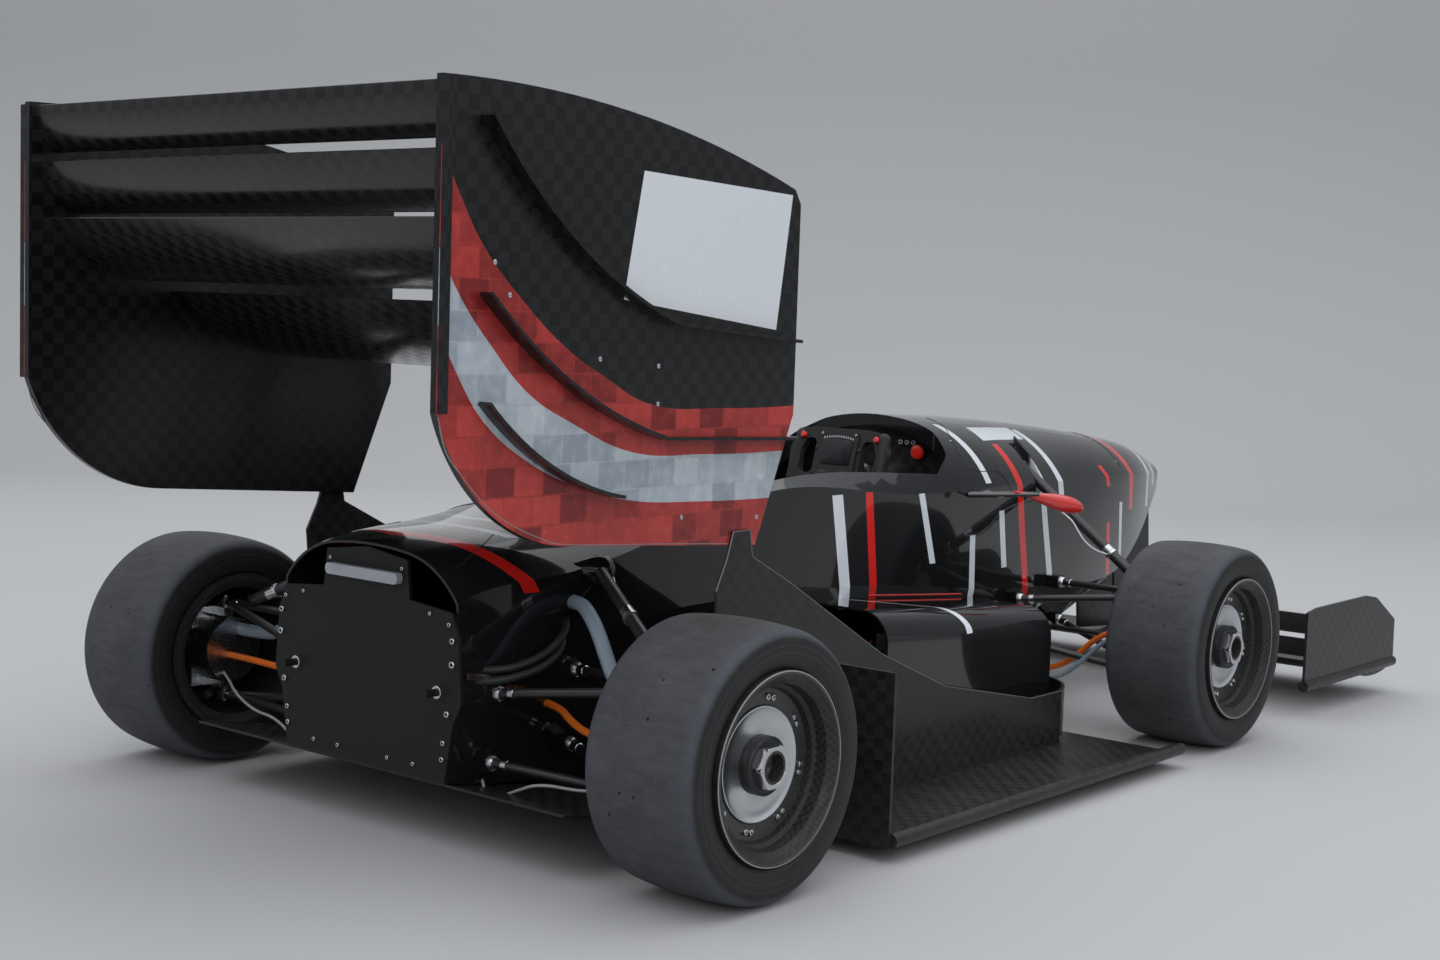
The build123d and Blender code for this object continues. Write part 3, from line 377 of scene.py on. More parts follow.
def make_tyre():
    """Worn slick rubber: a scrubbed grey tread with pits and grit, a darker, smoother side with fine
    moulded rings, and a bluish painted sheen over the shoulders."""
    net = Finish("worn slick rubber", rough=0.75, specular=0.35)
    where, _, _, _, radius = wheel_spot(net)
    tread = net.ramp(radius, 0.186, 0.197)
    rub = net.noise(where, 500.0)
    scuff = net.noise(where, 22.0, 8.0, 0.75, stretch=(1.0, 3.0, 3.0))
    mottle = net.line(net.minus(scuff, 0.5), 1.3, net.noise(where, 9.0, 6.0, 0.65), clamp=True)
    worn = net.blend(mottle, (0.024, 0.0245, 0.027), (0.088, 0.088, 0.094))
    colour = net.blend(tread, net.blend(mottle, (0.006, 0.006, 0.0065), 0.020), worn)
    for ring in (0.1475, 0.151, 0.1665, 0.1765):
        mark = net.band(radius, ring - 0.0005, ring + 0.0005, 0.0004)
        colour = net.blend(net.times(mark, 0.6), colour, (0.05, 0.05, 0.052))
    # Painted sheen: a bluish-grey band of reflected light over the tread's shoulders
    painted_shoulder_sheen = net.band(radius, 0.190, 0.2005, 0.003)
    colour = net.blend(net.times(painted_shoulder_sheen, 0.5), colour, (0.058, 0.066, 0.085))
    grit = net.dots(where, 95.0, 0.13, 0.07, 0.86)
    colour = net.blend(net.times(grit, tread), colour, (0.13, 0.125, 0.12))
    pits = net.dots(where, 32.0, 0.11, 0.06, 0.62)
    net.feed("Base Color", net.blend(net.times(pits, tread), colour, 0.002))
    net.feed("Roughness", net.line(tread, 0.14, net.line(rub, 0.2, 0.45)))
    net.relief(net.minus(net.times(rub, net.line(tread, 0.5, 0.2)), net.times(pits, 2.0)), 0.35, 0.0006)
    return net.material


def make_barrel():
    """Black rim barrel: fine moulded squares that run round the axle with their light squares painted far
    lighter as a painted reflection, painted highlights on three ridges, a pale line at the lip, and dust.
    """
    net = Finish("moulded rim barrel", rough=0.35, coat=0.3, coat_rough=0.2)
    where, side, behind, over, radius = wheel_spot(net)
    arc = net.times(net.calc("ARCTAN2", over, behind), 0.125)
    # The chequer is the barrel's moulded pattern; its light squares (0.32) are painted far lighter than the
    # carbon, as a painted reflection
    weave = net.use(CHEQUER, {
        "Vector": net.vector(x=arc, y=net.times(net.minus(radius, side), 0.45)), "Square": 0.0042,
        "Dark": 0.003, "Light": (0.32, 0.32, 0.33),
    })
    dust = net.use(DUST, {"Vector": where, "Amount": 0.5})["Mask"]
    # Painted highlights: pale bands along the three ridges of the barrel; the first band is a pale line at
    # the lip
    bright = net.band(radius, 0.1396, 0.1412)
    for ridge in (0.1268, 0.1234, 0.1202):
        bright = net.most(bright, net.band(radius, ridge - 0.0006, ridge + 0.0006))
    colour = net.blend(net.above(radius, 0.1345), weave["Color"], 0.006)
    colour = net.blend(net.below(radius, 0.114), colour, 0.008)
    colour = net.blend(net.times(dust, 0.5), colour, (0.10, 0.095, 0.09))
    net.feed("Base Color", net.blend(net.times(bright, 0.8), colour, (0.36, 0.36, 0.37)))
    net.feed("Roughness", net.plus(weave["Roughness"], 0.05))
    net.relief(weave["Height"], 0.3, 0.0004)
    return net.material


def make_dish():
    """Turned aluminium: fine rings round the axle, a highlight drawn out across them and soft smears."""
    net = Finish("turned aluminium dish", (0.58, 0.60, 0.62), 0.3, metal=1.0)
    where, _, behind, over, radius = wheel_spot(net)
    round_axle = net.vector(y=net.times(over, -1.0), z=behind)
    round_axle = net.add("VectorMath", {0: round_axle}, operation="NORMALIZE").outputs[0]
    world = net.add("VectorTransform", {0: round_axle}, vector_type="VECTOR", convert_from="OBJECT",
                    convert_to="WORLD")
    net.feed("Tangent", world.outputs[0])
    net.feed("Anisotropic", 0.85)
    rings = net.noise(net.vector(x=net.times(radius, 900.0)))
    smear = net.noise(where, 30.0, 4.0)
    net.feed("Roughness", net.line(rings, 0.12, net.line(smear, 0.2, 0.18)))
    net.relief(rings, 0.08, 0.0002)
    return net.material


# The rear wing's end plates: front and rear edge, and the height and rise that the colours' curves span (mm)
PLATE_FRONT, PLATE_REAR, PLATE_LOW, PLATE_RISE = 1225, 1990, 480, 680
# Curves that part the end plates' colours, from the highest to the lowest: distance and height (mm)
PLATE_CURVES = (
    ((1232, 703), (1400, 702), (1573, 712), (1662, 749), (1750, 794), (1832, 855), (1907, 925), (1953, 993),
     (1990, 1060)),
    ((1251, 632), (1440, 633), (1605, 642), (1734, 688), (1816, 728), (1889, 793), (1949, 860), (1990, 930)),
    ((1295, 559), (1450, 562), (1614, 573), (1730, 601), (1824, 640), (1899, 691), (1944, 747), (1990, 830)),
)
NUMBER_BOARD = ((1595, 1046), (1246, 1033), (1277, 822), (1631, 861))
# Between these distances from the car's middle lie the end plates' outer faces (m)
OUTER_FACE = (0.4862, 0.4878)


def make_wing_plate():
    """The end plates' outer faces: black above, then red, pale and red bands along three curves, and a
    blank white board; each band is a mosaic of tiles a little lighter or darker. Inner faces are bare."""
    net = Finish("banded wing plate", rough=0.3, coat=0.2, coat_rough=0.15, specular=0.35)
    where, parts = net.spot()
    weave = net.use(CHEQUER, {"Vector": net.facing(), "Square": 0.02, "Dark": 0.003,
                              "Light": (0.010, 0.010, 0.011)})["Color"]
    share = net.ramp(parts[1], along(PLATE_FRONT), along(PLATE_REAR))
    tiles = net.add("TexBrick", {
        "Vector": net.add("Mapping", {"Vector": where, "Rotation": (0.0, -RIGHT, -RIGHT)}).outputs[0],
        "Scale": 1.0, "Brick Width": 0.055, "Row Height": 0.042, "Mortar Size": 0.0012,
        "Color1": 0.0, "Color2": 1.0, "Mortar": 0.5,
    }, offset=0.37, squash=1.0)
    blotch = net.noise(where, 55.0, 3.0)
    tile_tone = net.add("SeparateColor", {0: tiles.outputs[0]}).outputs[0]
    tone = net.line(net.minus(blotch, 0.5), 0.9, tile_tone, clamp=True)
    red = net.blend(tone, (0.17, 0.011, 0.010), (0.46, 0.045, 0.038))
    pale = net.blend(tone, (0.26, 0.30, 0.35), (0.50, 0.54, 0.58))
    colour = weave
    for curve, band in zip(PLATE_CURVES, (red, pale, red)):
        node = net.add("FloatCurve", {"Value": share})
        spots = [((y - PLATE_FRONT) / (PLATE_REAR - PLATE_FRONT), (z - PLATE_LOW) / PLATE_RISE)
                 for y, z in curve]
        points = node.mapping.curves[0].points
        points[0].location = (0.0, spots[0][1])
        points[1].location = (1.0, spots[-1][1])
        for spot in spots[1:-1]:
            points.new(*spot)
        node.mapping.update()
        height = net.line(node.outputs[0], PLATE_RISE / 1000, PLATE_LOW / 1000)
        colour = net.blend(net.below(parts[2], height), colour, band)
    corners = [np.array(spot, float) for spot in NUMBER_BOARD]
    centre = sum(corners) / len(corners)
    board = 1.0
    for start, end in zip(corners, corners[1:] + corners[:1]):
        way = (end - start) / np.hypot(*(end - start))
        inward = np.array((-way[1], way[0]))
        if inward @ (centre - start) < 0:
            inward = -inward
        reach = net.line(parts[1], float(inward[0]), net.times(parts[2], float(inward[1])))
        limit = float(inward[0] * along(start[0]) + inward[1] * start[1] / 1000)
        board = net.times(board, net.above(reach, limit))
    colour = net.blend(board, colour, (0.66, 0.69, 0.72))
    side = net.size(parts[0])
    outer = net.times(net.above(side, OUTER_FACE[0]), net.below(side, OUTER_FACE[1]))
    net.feed("Base Color", net.blend(outer, weave, colour))
    net.feed("Roughness", net.line(blotch, 0.12, 0.2))
    return net.material


LACQUER = make_lacquer("striped body lacquer", WHITE_STRIPES, RED_STRIPES, COVER_ARCS, board=True)
POD_LACQUER = make_lacquer("sidepod lacquer", pod=True)
CARBON = make_carbon("chequered carbon", dust=0.3)
CARBON_WING = make_carbon("wing chequered carbon", square=0.02, dust=0.12, coat=0.5, rough=-0.03)
PLATE_FINISH = make_wing_plate()
TYRE = make_tyre()
RIM_BLACK = make_carbon("black moulded rim", square=0.006, dust=0.3, rough=0.12, light=0.02)
ALUMINIUM = make_metal("machined aluminium", (0.62, 0.63, 0.64), 0.28)
STEEL = make_metal("bright steel", (0.55, 0.55, 0.56), 0.2)
DARK_STEEL = make_metal("blackened steel", (0.05, 0.05, 0.052), 0.35)
ARM_BLACK = make_plain("satin black tube", (0.014, 0.014, 0.015), 0.38, coat=0.3)
MATT_BLACK = make_plain("matt black panel", 0.007, 0.55, spread=0.5, specular=0.3)
HOOP_PAINT = make_plain("black powder coat", 0.012, 0.45, bump=0.4)
CASE_BLACK = make_plain("black case", 0.02, 0.5)
GRIP = make_plain("black grip", 0.013, 0.62, scale=900.0, bump=0.6)
SEAT_CARBON = make_carbon("seat shell carbon", dust=0.2)
PAD_CLOTH = make_plain("black pad cloth", 0.02, 0.85, scale=1400.0, bump=0.8)
MIRROR_RED = make_plain("red lacquer", (0.62, 0.02, 0.015), 0.22, coat=1.0, bump=0.03)
LENS = make_plain("frosted lens", (0.32, 0.34, 0.37), 0.3, coat=0.6, bump=0.05)
ORANGE = make_plain("orange cable jacket", (0.82, 0.17, 0.015), 0.42, bump=0.1)
HOSE = make_plain("grey blue hose", (0.25, 0.31, 0.37), 0.4, bump=0.2)
SEAM = make_plain("dark seam", 0.003, 0.6)
# Pale grey for the lines laid along the boards' and end plates' edges: a painted highlight
EDGE_HIGHLIGHT_PAINT = make_plain("painted edge highlight", 0.2, 0.5)
BARREL = make_barrel()
DISH = make_dish()
RED_KNOB = make_plain("red knob", (0.72, 0.02, 0.012), 0.3, coat=0.5, bump=0.03)
SCREEN = make_plain("dark display", (0.006, 0.007, 0.009), 0.3, coat=0.2, bump=0.0, specular=0.3)
GLOSS_BLACK = make_plain("gloss black fairing", BLACK, 0.14, coat=1.0, bump=0.02, specular=0.1)
RUBBER = make_plain("black rubber hose", 0.012, 0.55, bump=0.3)
PALE_LINE = make_plain("pale grey sleeve", (0.34, 0.35, 0.36), 0.45, bump=0.1)
PALE_MARK = make_plain("pale print", (0.6, 0.62, 0.64), 0.5)

# The finish of each CAD node; arms, rods, the rack and the mirrors' plain solids are ARM_BLACK
FINISHES = {label: finish for finish, labels in (
    (LACQUER, "monocoque nose_cone rear_cover"),
    (POD_LACQUER, "sidepod_left sidepod_right"),
    (CARBON, "firewall dashboard undertray side_boards tyre_walls front_wing_main front_wing_flaps"),
    (CARBON, "front_wing_plates front_wing_pylons"),
    (CARBON_WING, "rear_wing_main rear_wing_flaps"),
    (PLATE_FINISH, "rear_wing_plate_left rear_wing_plate_right"),
    (ALUMINIUM, "radiators rear_uprights front_knuckle_left front_knuckle_right"),
    (ALUMINIUM, "steering_column rack_housing"),
    (CASE_BLACK, "accumulator"), (SEAT_CARBON, "seat"), (MATT_BLACK, "rear_plate"), (LENS, "rear_lamp"),
    (HOOP_PAINT, "main_hoop"), (PAD_CLOTH, "head_pad"), (GRIP, "steering_wheel"), (ORANGE, "motor_cables"),
    (HOSE, "coolant_hoses"),
    (TYRE, " ".join(f"tyre_{wheel}" for wheel in WHEELS)),
    (RIM_BLACK, " ".join(f"rim_{wheel}" for wheel in WHEELS)),
) for label in labels.split()}
for label, thing in nodes.items():
    thing.data.materials.clear()
    thing.data.materials.append(FINISHES.get(label, ARM_BLACK))

# Stage

# The camera's place, how far it turns from -Y, looks up and leans (degrees), and its focal length (pixels)
CAMERA_PLACE = (-2.4279, 3.2132, 0.8575)
CAMERA_YAW, CAMERA_PITCH, CAMERA_ROLL = (math.radians(value) for value in (39.542, -4.9745, 1.9437))
FOCAL_PIXELS, PHOTO_WIDTH = 2005.9, 1440.0
SKY, LOW_SKY, HIGH_SKY = (0.84, 0.88, 0.93), 0.3, 0.86
LAMPS = (
    # name, place, what it is aimed at, width and height, power
    ("lamp_over", (-0.6, 0.4, 6.4), (0.0, 0.2, 0.3), (12.0, 10.0), 330.0),
    ("lamp_near", (-4.4, 3.6, 2.6), (0.0, 0.2, 0.4), (3.4, 2.2), 45.0),
    ("lamp_far", (3.8, -2.6, 3.2), (0.0, 0.0, 0.4), (5.0, 4.0), 24.0),
)


def make_stage():
    """A pale floor that curves up into a backdrop behind the car and is clear from its back, a soft sky
    and three soft lamps."""
    near, far, bend, top, half_wide = -15.0, 5.0, 2.2, 7.0, 18.0
    turn = np.linspace(0.0, RIGHT, 40)
    run = np.concatenate((np.linspace(near, far, 6), far + bend * np.sin(turn), np.full(3, far + bend)))
    rise = np.concatenate((np.zeros(6), bend * (1 - np.cos(turn)), np.linspace(bend + 0.4, top, 3)))
    ahead = np.array((math.sin(CAMERA_YAW), -math.cos(CAMERA_YAW)))
    aside = np.array((math.cos(CAMERA_YAW), math.sin(CAMERA_YAW)))
    wide = np.linspace(-half_wide, half_wide, 13)
    points = np.zeros((len(run), len(wide), 3))
    points[:, :, :2] = run[:, None, None] * ahead + wide[None, :, None] * aside
    points[:, :, 2] = rise[:, None]
    net = Finish("pale floor", (0.46, 0.46, 0.465), 0.85, specular=0.2)
    behind = net.add("NewGeometry").outputs["Backfacing"]
    clear = net.add("BsdfTransparent").outputs[0]
    one_way = net.add("MixShader", {0: behind, 1: net.shader.outputs[0], 2: clear})
    net.put(net.tree.nodes["Material Output"].inputs["Surface"], one_way.outputs[0])
    floor = mesh_piece("studio_floor", [points], net.material, body=None, close=False, outward=False)
    world = bpy.data.worlds.new("soft sky")
    world.use_nodes = True
    bpy.context.scene.world = world
    net = Net(world.node_tree)
    sky = world.node_tree.nodes["Background"]
    net.put(sky.inputs["Color"], SKY)
    height = net.parts(net.add("TexCoord").outputs["Generated"])[2]
    values = {0: height, 1: 0.02, 2: 0.42, 3: LOW_SKY, 4: HIGH_SKY}
    strength = net.add("MapRange", values, interpolation_type="SMOOTHSTEP")
    net.put(sky.inputs["Strength"], strength.outputs[0])
    for name, place, aim, size, power in LAMPS:
        lamp = bpy.data.lights.new(name, "AREA")
        lamp.shape = "RECTANGLE"
        lamp.size, lamp.size_y = size
        lamp.energy = power
        light = bpy.data.objects.new(name, lamp)
        bpy.context.collection.objects.link(light)
        light.location = place
        light.rotation_euler = (Vector(aim) - Vector(place)).to_track_quat("-Z", "Y").to_euler()


def make_camera():
    """The photograph's view: place, yaw, pitch and roll of the lens."""
    flat = math.cos(CAMERA_PITCH)
    ahead = Vector((math.sin(CAMERA_YAW) * flat, -math.cos(CAMERA_YAW) * flat, math.sin(CAMERA_PITCH)))
    right = ahead.cross(Vector(UP)).normalized()
    up = right.cross(ahead)
    across = right * math.cos(CAMERA_ROLL) + up * math.sin(CAMERA_ROLL)
    over = up * math.cos(CAMERA_ROLL) - right * math.sin(CAMERA_ROLL)
    lens = bpy.data.cameras.new("camera")
    lens.sensor_width = 36.0
    lens.lens = FOCAL_PIXELS / PHOTO_WIDTH * lens.sensor_width
    camera = bpy.data.objects.new("camera", lens)
    bpy.context.collection.objects.link(camera)
    turn = Matrix((across, over, -ahead)).transposed().to_4x4()
    camera.matrix_world = Matrix.Translation(CAMERA_PLACE) @ turn
    bpy.context.scene.camera = camera


# Surfaces


def grid_faces(points, close=True, cap=False):
    """The vertices and faces of a grid of points (rows by columns by 3): each row closes on itself if
    close is set, and a fan covers each end row if cap is set."""
    rows, columns = points.shape[:2]
    verts = points.reshape(-1, 3)
    spans = columns if close else columns - 1
    row, column = np.meshgrid(np.arange(rows - 1), np.arange(spans), indexing="ij")
    after = (column + 1) % columns
    here, there = row * columns, (row + 1) * columns
    quads = np.stack((here + column, there + column, there + after, here + after), axis=-1)
    faces = quads.reshape(-1, 4).tolist()
    if cap:
        verts = np.concatenate((verts, points[0].mean(axis=0)[None], points[-1].mean(axis=0)[None]))
        last = (rows - 1) * columns
        for ring in range(columns):
            after = (ring + 1) % columns
            faces.append([rows * columns, ring, after])
            faces.append([rows * columns + 1, last + after, last + ring])
    return verts, faces


def mesh_piece(name, grids, finish, slot=None, body="root", smooth=SMOOTH, outward=True, **options):
    """Grids joined in one object, shaded smooth up to an angle, its faces turned outwards, with its
    finish and, if named, the body it rides on; slot is not used."""
    verts, faces, start = [], [], 0
    for grid in grids:
        new_verts, new_faces = grid_faces(grid, **options)
        verts.append(new_verts)
        faces += [[start + index for index in face] for face in new_faces]
        start += len(new_verts)
    mesh = bpy.data.meshes.new(name)
    mesh.from_pydata(np.concatenate(verts).tolist(), [], faces)
    if outward:
        work = bmesh.new()
        work.from_mesh(mesh)
        bmesh.ops.recalc_face_normals(work, faces=work.faces)
        work.to_mesh(mesh)
        work.free()
    mesh.update()
    mesh.shade_smooth()
    mesh.set_sharp_from_angle(angle=smooth)
    piece = bpy.data.objects.new(name, mesh)
    bpy.context.collection.objects.link(piece)
    return dress(piece, finish, body)


def dress(piece, finish, body="root"):
    """Give a piece its finish and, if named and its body."""
    piece.data.materials.append(finish)
    if body:
        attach(piece, body)
    return piece


def turned(centre, axis, profile, steps=96):
    """Rings of a profile of (radius, distance along the axis) turned about it."""
    axis = np.asarray(axis, float) / np.linalg.norm(axis)
    first = np.cross(axis, UP if abs(axis[2]) < 0.9 else BACK)
    first /= np.linalg.norm(first)
    second = np.cross(axis, first)
    angle = np.linspace(0.0, 2 * np.pi, steps, endpoint=False)
    ring = np.cos(angle)[:, None] * first + np.sin(angle)[:, None] * second
    profile = np.asarray(profile, float)
    return np.asarray(centre, float) + profile[:, :1, None] * ring[None] + profile[:, 1:2, None] * axis


def knob(centre, axis, rows, steps=24):
    """A turned form from rows of radius and height in millimetres, first at the top."""
    return turned(centre, axis, np.array(rows, float) / 1000, steps)


def cap_screw(centre, axis, size):
    """A cap screw: a round head of the given radius (mm) with a round socket."""
    rows = [(size * 0.5, size * 0.5), (size * 0.52, size), (size * 0.9, size), (size, size * 0.88), (size, 0)]
    return knob(centre, axis, rows, steps=20)


def round_nut(centre, axis, across, height):
    """A round nut with a chamfered face and a hole, as wide as the corners of a hexagon of the given
    size across its flats (mm)."""
    radius = across / 2 / math.cos(math.pi / 6)
    rows = [(across * 0.28, height), (across * 0.45, height), (radius, height * 0.86), (radius, 0)]
    return knob(centre, axis, rows)


def tube(points, radius, steps=10):
    """Rings of a round tube along points, its frame carried along without twist."""
    points = np.asarray(points, float)
    way = np.gradient(points, axis=0)
    way /= np.linalg.norm(way, axis=1)[:, None]
    side = np.cross(way[0], UP if abs(way[0][2]) < 0.9 else (1.0, 0.0, 0.0))
    angle = np.linspace(0.0, 2 * np.pi, steps, endpoint=False)
    rings = []
    for here, along_way in zip(points, way):
        side = side - (side @ along_way) * along_way
        side /= np.linalg.norm(side)
        over = np.cross(along_way, side)
        rings.append(here + radius * (np.cos(angle)[:, None] * side + np.sin(angle)[:, None] * over))
    return np.array(rings)


def line_through(points, bent=True, spacing=0.006):
    """A line through points, as a Catmull-Rom curve or straight, sampled at about the spacing."""
    points = np.asarray(points, float)
    ends = np.concatenate((2 * points[:1] - points[1:2], points, 2 * points[-1:] - points[-2:-1]))
    rows = []
    for a, b, c, d in zip(ends, ends[1:], ends[2:], ends[3:]):
        count = max(2, int(np.linalg.norm(c - b) / spacing))
        t = np.linspace(0.0, 1.0, count, endpoint=False)[:, None]
        curve = (c - a) * t + (2 * a - 5 * b + 4 * c - d) * t ** 2 + (3 * b - a - 3 * c + d) * t ** 3
        rows.append(b + (0.5 * curve if bent else (c - b) * t))
    return np.concatenate((*rows, points[-1:]))


def skin(*labels):
    """The surfaces of CAD nodes, to lay details on."""
    verts, faces = [], []
    for label in labels:
        thing = nodes[label]
        start = len(verts)
        verts += [thing.matrix_world @ vertex.co for vertex in thing.data.vertices]
        faces += [[start + index for index in face.vertices] for face in thing.data.polygons]
    return BVHTree.FromPolygons(verts, faces)


def laid(surface, points, way):
    """Points moved along way onto the surface; a point that misses is left out."""
    way = Vector(way).normalized()
    hits = [surface.ray_cast(Vector(point) - way * 0.4, way)[0] for point in points]
    return np.array([tuple(hit) for hit in hits if hit is not None])


# Seams and screws on the body
BODY = skin("monocoque", "nose_cone", "rear_cover")
HATCH_TOP = ((-60, 205, 640), (-119, 230, 622), (-156, 265, 606), (-197, 295, 577), (-215, 299, 558))
HATCH_SIDE = ((-260, 301, 545), (-260, 246, 536), (-260, 181, 534), (-260, 163, 526), (-260, 120, 470))
COVER_SEAM = ((-111, 1514, 474), (-132, 1551, 465), (-149, 1589, 453), (-160, 1617, 444), (-169, 1650, 432))
seams = []
for flip in (1, -1):
    inwards = (flip, 0, 0)
    for points, way, bent in (
        (HATCH_TOP, DOWN, False), (HATCH_SIDE, inwards, False), (COVER_SEAM, DOWN, True),
    ):
        seams.append(tube(laid(BODY, line_through(car(points, flip), bent), way), 0.0009, steps=6))
for half, y, z, count, radius in ((215, 1347, 600, 90, 0.0010), (150, -490, 700, 60, 0.0009)):
    across = car([(x, y, z) for x in np.linspace(-half, half, count)])
    seams.append(tube(laid(BODY, across, DOWN), radius, steps=6))
mesh_piece("body_seams", seams, SEAM, "gloss_black")

screws = []
for x, y, size in (
    (-128, 250, 3.0), (-176, 288, 3.0), (-95, 215, 3.0), (-200, 1352, 2.6), (-90, 1352, 2.6),
    (-140, -482, 2.6), (-70, -482, 2.6),
):
    for flip in (1, -1):
        spot = laid(BODY, car([(x, y, 700)], flip), DOWN)[0]
        rows = [(0.3, 0.9), (size * 0.5, 1.1), (size * 0.9, 0.7), (size, -0.6)]
        screws.append(knob(spot, UP, rows, steps=14))
mesh_piece("body_screws", screws, STEEL, "bare_aluminium")

# Pale lines along the edges of the side boards and the end plates, a painted highlight of those edges:
# distance and height (mm)
BOARD_EDGE = (
    (340, 132), (452, 132), (757, 194), (958, 275), (1085, 345), (1218, 418), (1322, 470), (1330, 512),
    (1370, 512), (1384, 470), (1408, 422),
)
WING_EDGE = (
    (1985, 708), (1968, 655), (1938, 620), (1895, 580), (1850, 552), (1790, 528), (1733, 515), (1520, 501),
    (1313, 487),
)
# How far out lie the boards' edge lines, and the end plates' edge lines and screws (mm)
BOARD_EDGE_OUT, WING_EDGE_OUT, WING_SCREWS_OUT = 491.2, 486.2, 487.0
edges = []
for flip in (1, -1):
    board = line_through(car([(BOARD_EDGE_OUT, y, z - 1.0) for y, z in BOARD_EDGE], flip), bent=False)
    wing = line_through(car([(WING_EDGE_OUT, y - 1.2, z + 1.2) for y, z in WING_EDGE], flip))
    edges += [tube(line, 0.0011, steps=6) for line in (board, wing)]
# Painted highlight: pale tubes along the edges of the side boards and the end plates
mesh_piece("painted_edge_highlights", edges, EDGE_HIGHLIGHT_PAINT, "carbon")

# Fixings of the rear plate
REAR_PLATE = 1682
fixings = []
for x, z, size in (
    (186, 150, 4.2), (188, 176, 4.2), (196, 222, 5.0), (206, 300, 5.6), (205, 336, 5.0), (196, 360, 3.6),
    (120, 132, 3.4), (60, 132, 3.4), (152, 372, 3.2), (86, 434, 3.0),
):
    fixings += [cap_screw(car((x, REAR_PLATE, z), flip), BACK, size) for flip in (1, -1)]
for flip in (1, -1):
    collar = [(6.2, 3.0), (9.5, 3.0), (10.5, 2.2), (10.5, 0)]
    fixings.append(knob(car((170, REAR_PLATE, 252), flip), BACK, collar))
mesh_piece("rear_plate_screws", fixings, STEEL, "bare_aluminium")

# Wheels


def tyre_profile():
    """The slick's section as rows of radius and distance outwards (mm), mirrored: a tread of radius
    205 - 4.6 s^2.2 at 80 s, quarter ellipses of 19.2 by 21 as shoulders, sides of radius 181 - 38 t at
    101 + 1.8 sin(pi t) - 6 t^2 with a rib near the rim, and a bead."""
    half = [(205.0 - 4.6 * s ** 2.2, 80.0 * s) for s in np.linspace(0.0, 1.0, 9)]
    half += [(181.0 + 19.2 * math.cos(turn), 80.0 + 21.0 * math.sin(turn))
             for turn in np.linspace(0.15, 1.0, 7) * RIGHT]
    half += [(181.0 - 38.0 * t, 101.0 + 1.8 * math.sin(math.pi * t) - 6.0 * t ** 2)
             for t in np.linspace(0.1, 1.0, 10)]
    rib, rib_height = -4, 0.9
    half[rib] = (half[rib][0], half[rib][1] + rib_height)
    half += [(141.5, 93.0), (141.0, 88.0), (128.0, 88.0)]
    return [(radius, -out) for radius, out in reversed(half[1:])] + half


def rim_face_profile():
    """The barrel seen from outside, as rows of radius and distance outwards (mm): a lip, three ridges
    that step down into the barrel and the ring that carries the small bolts."""
    rows = [(141.5, 88), (141.8, 103.2), (140.8, 104.4), (136.2, 104.6), (135.2, 103.4), (134.6, 98.6)]
    rows.append((128.6, 98.0))
    for radius, level in ((128.2, 92.0), (124.8, 84.5), (121.6, 77.5)):
        rows += [(radius + 0.4, level + 1.0), (radius + 0.2, level), (radius - 1.6, level - 0.4),
                 (radius - 2.6, level - 2.2)]
    rows += [(118.6, 74.0), (116.0, 70.0), (113.4, 63.0), (110.0, 61.4), (86.5, 61.0), (85.5, 60.0)]
    return rows + [(85.5, 57.0)]


DISH_PROFILE = [
    (43, 60), (46, 59.4), (52, 58.7), (60, 58.6), (68, 59.4), (75, 61.0), (80, 62.8), (82.4, 64.4),
    (83.6, 64.9), (84.6, 64.4), (85.2, 63.0), (85.2, 59),
]
RING_PROFILE = [(30, 60), (43.4, 60), (43.6, 70), (42.8, 76), (41, 78.6), (38, 79.8), (33, 80.2), (30, 80.2)]
# The centre nut: its outside, whose rows 1 to 4 are hexagonal, its threaded bore and the axle's end
HEX_PROFILE = [(30, 78), (33.8, 78), (34.4, 79), (34.4, 91.4), (33.2, 92.8), (27.0, 93.0), (25.0, 92.6)]
HEX_PROFILE.append((23.2, 91.2))
HEX_PROFILE += [(21.0 + 0.9 * (step % 2), 90.0 - 1.1 * step) for step in range(16)]
HEX_PROFILE += [(20.4, 70.0), (12.0, 68.0), (6.0, 68.0)]
HEX_ROWS, HEX_HALF_FLAT = slice(-5, -1), 0.0302
BOLT_PROFILE = [(1.9, 2.6), (2.5, 4.4), (4.3, 4.2), (4.9, 3.4), (5.0, 0.0)]
BOLT_RADIUS, BOLT_LEVEL = 0.0975, 0.061
WHEEL_PARTS = (
    # name, rows of the profile (mm), steps round the axle, finish, slot
    ("slick", tyre_profile(), 160, TYRE, "tyre_rubber"),
    ("rim_face", rim_face_profile()[::-1], 128, BARREL, "rim_black"),
    ("wheel_dish", DISH_PROFILE[::-1], 128, DISH, "bare_aluminium"),
    ("ring_nut", RING_PROFILE[::-1], 96, DARK_STEEL, "bare_aluminium"),
)


def cut_to_hexagon(rings, centre, axis, half_flat):
    """Cuts rings about an axis along X back to a hexagon of the given half width across its flats."""
    axis = np.asarray(axis, float)
    first = np.array(BACK, float)
    second = np.cross(axis, first)
    away = rings - centre
    angle = np.arctan2(away @ second, away @ first)
    limit = half_flat / np.cos(np.mod(angle, np.pi / 3) - np.pi / 6)
    limit = np.minimum(np.hypot(away @ first, away @ second), limit)
    flat = (limit * np.cos(angle))[..., None] * first + (limit * np.sin(angle))[..., None] * second
    return centre + (away @ axis)[..., None] * axis + flat


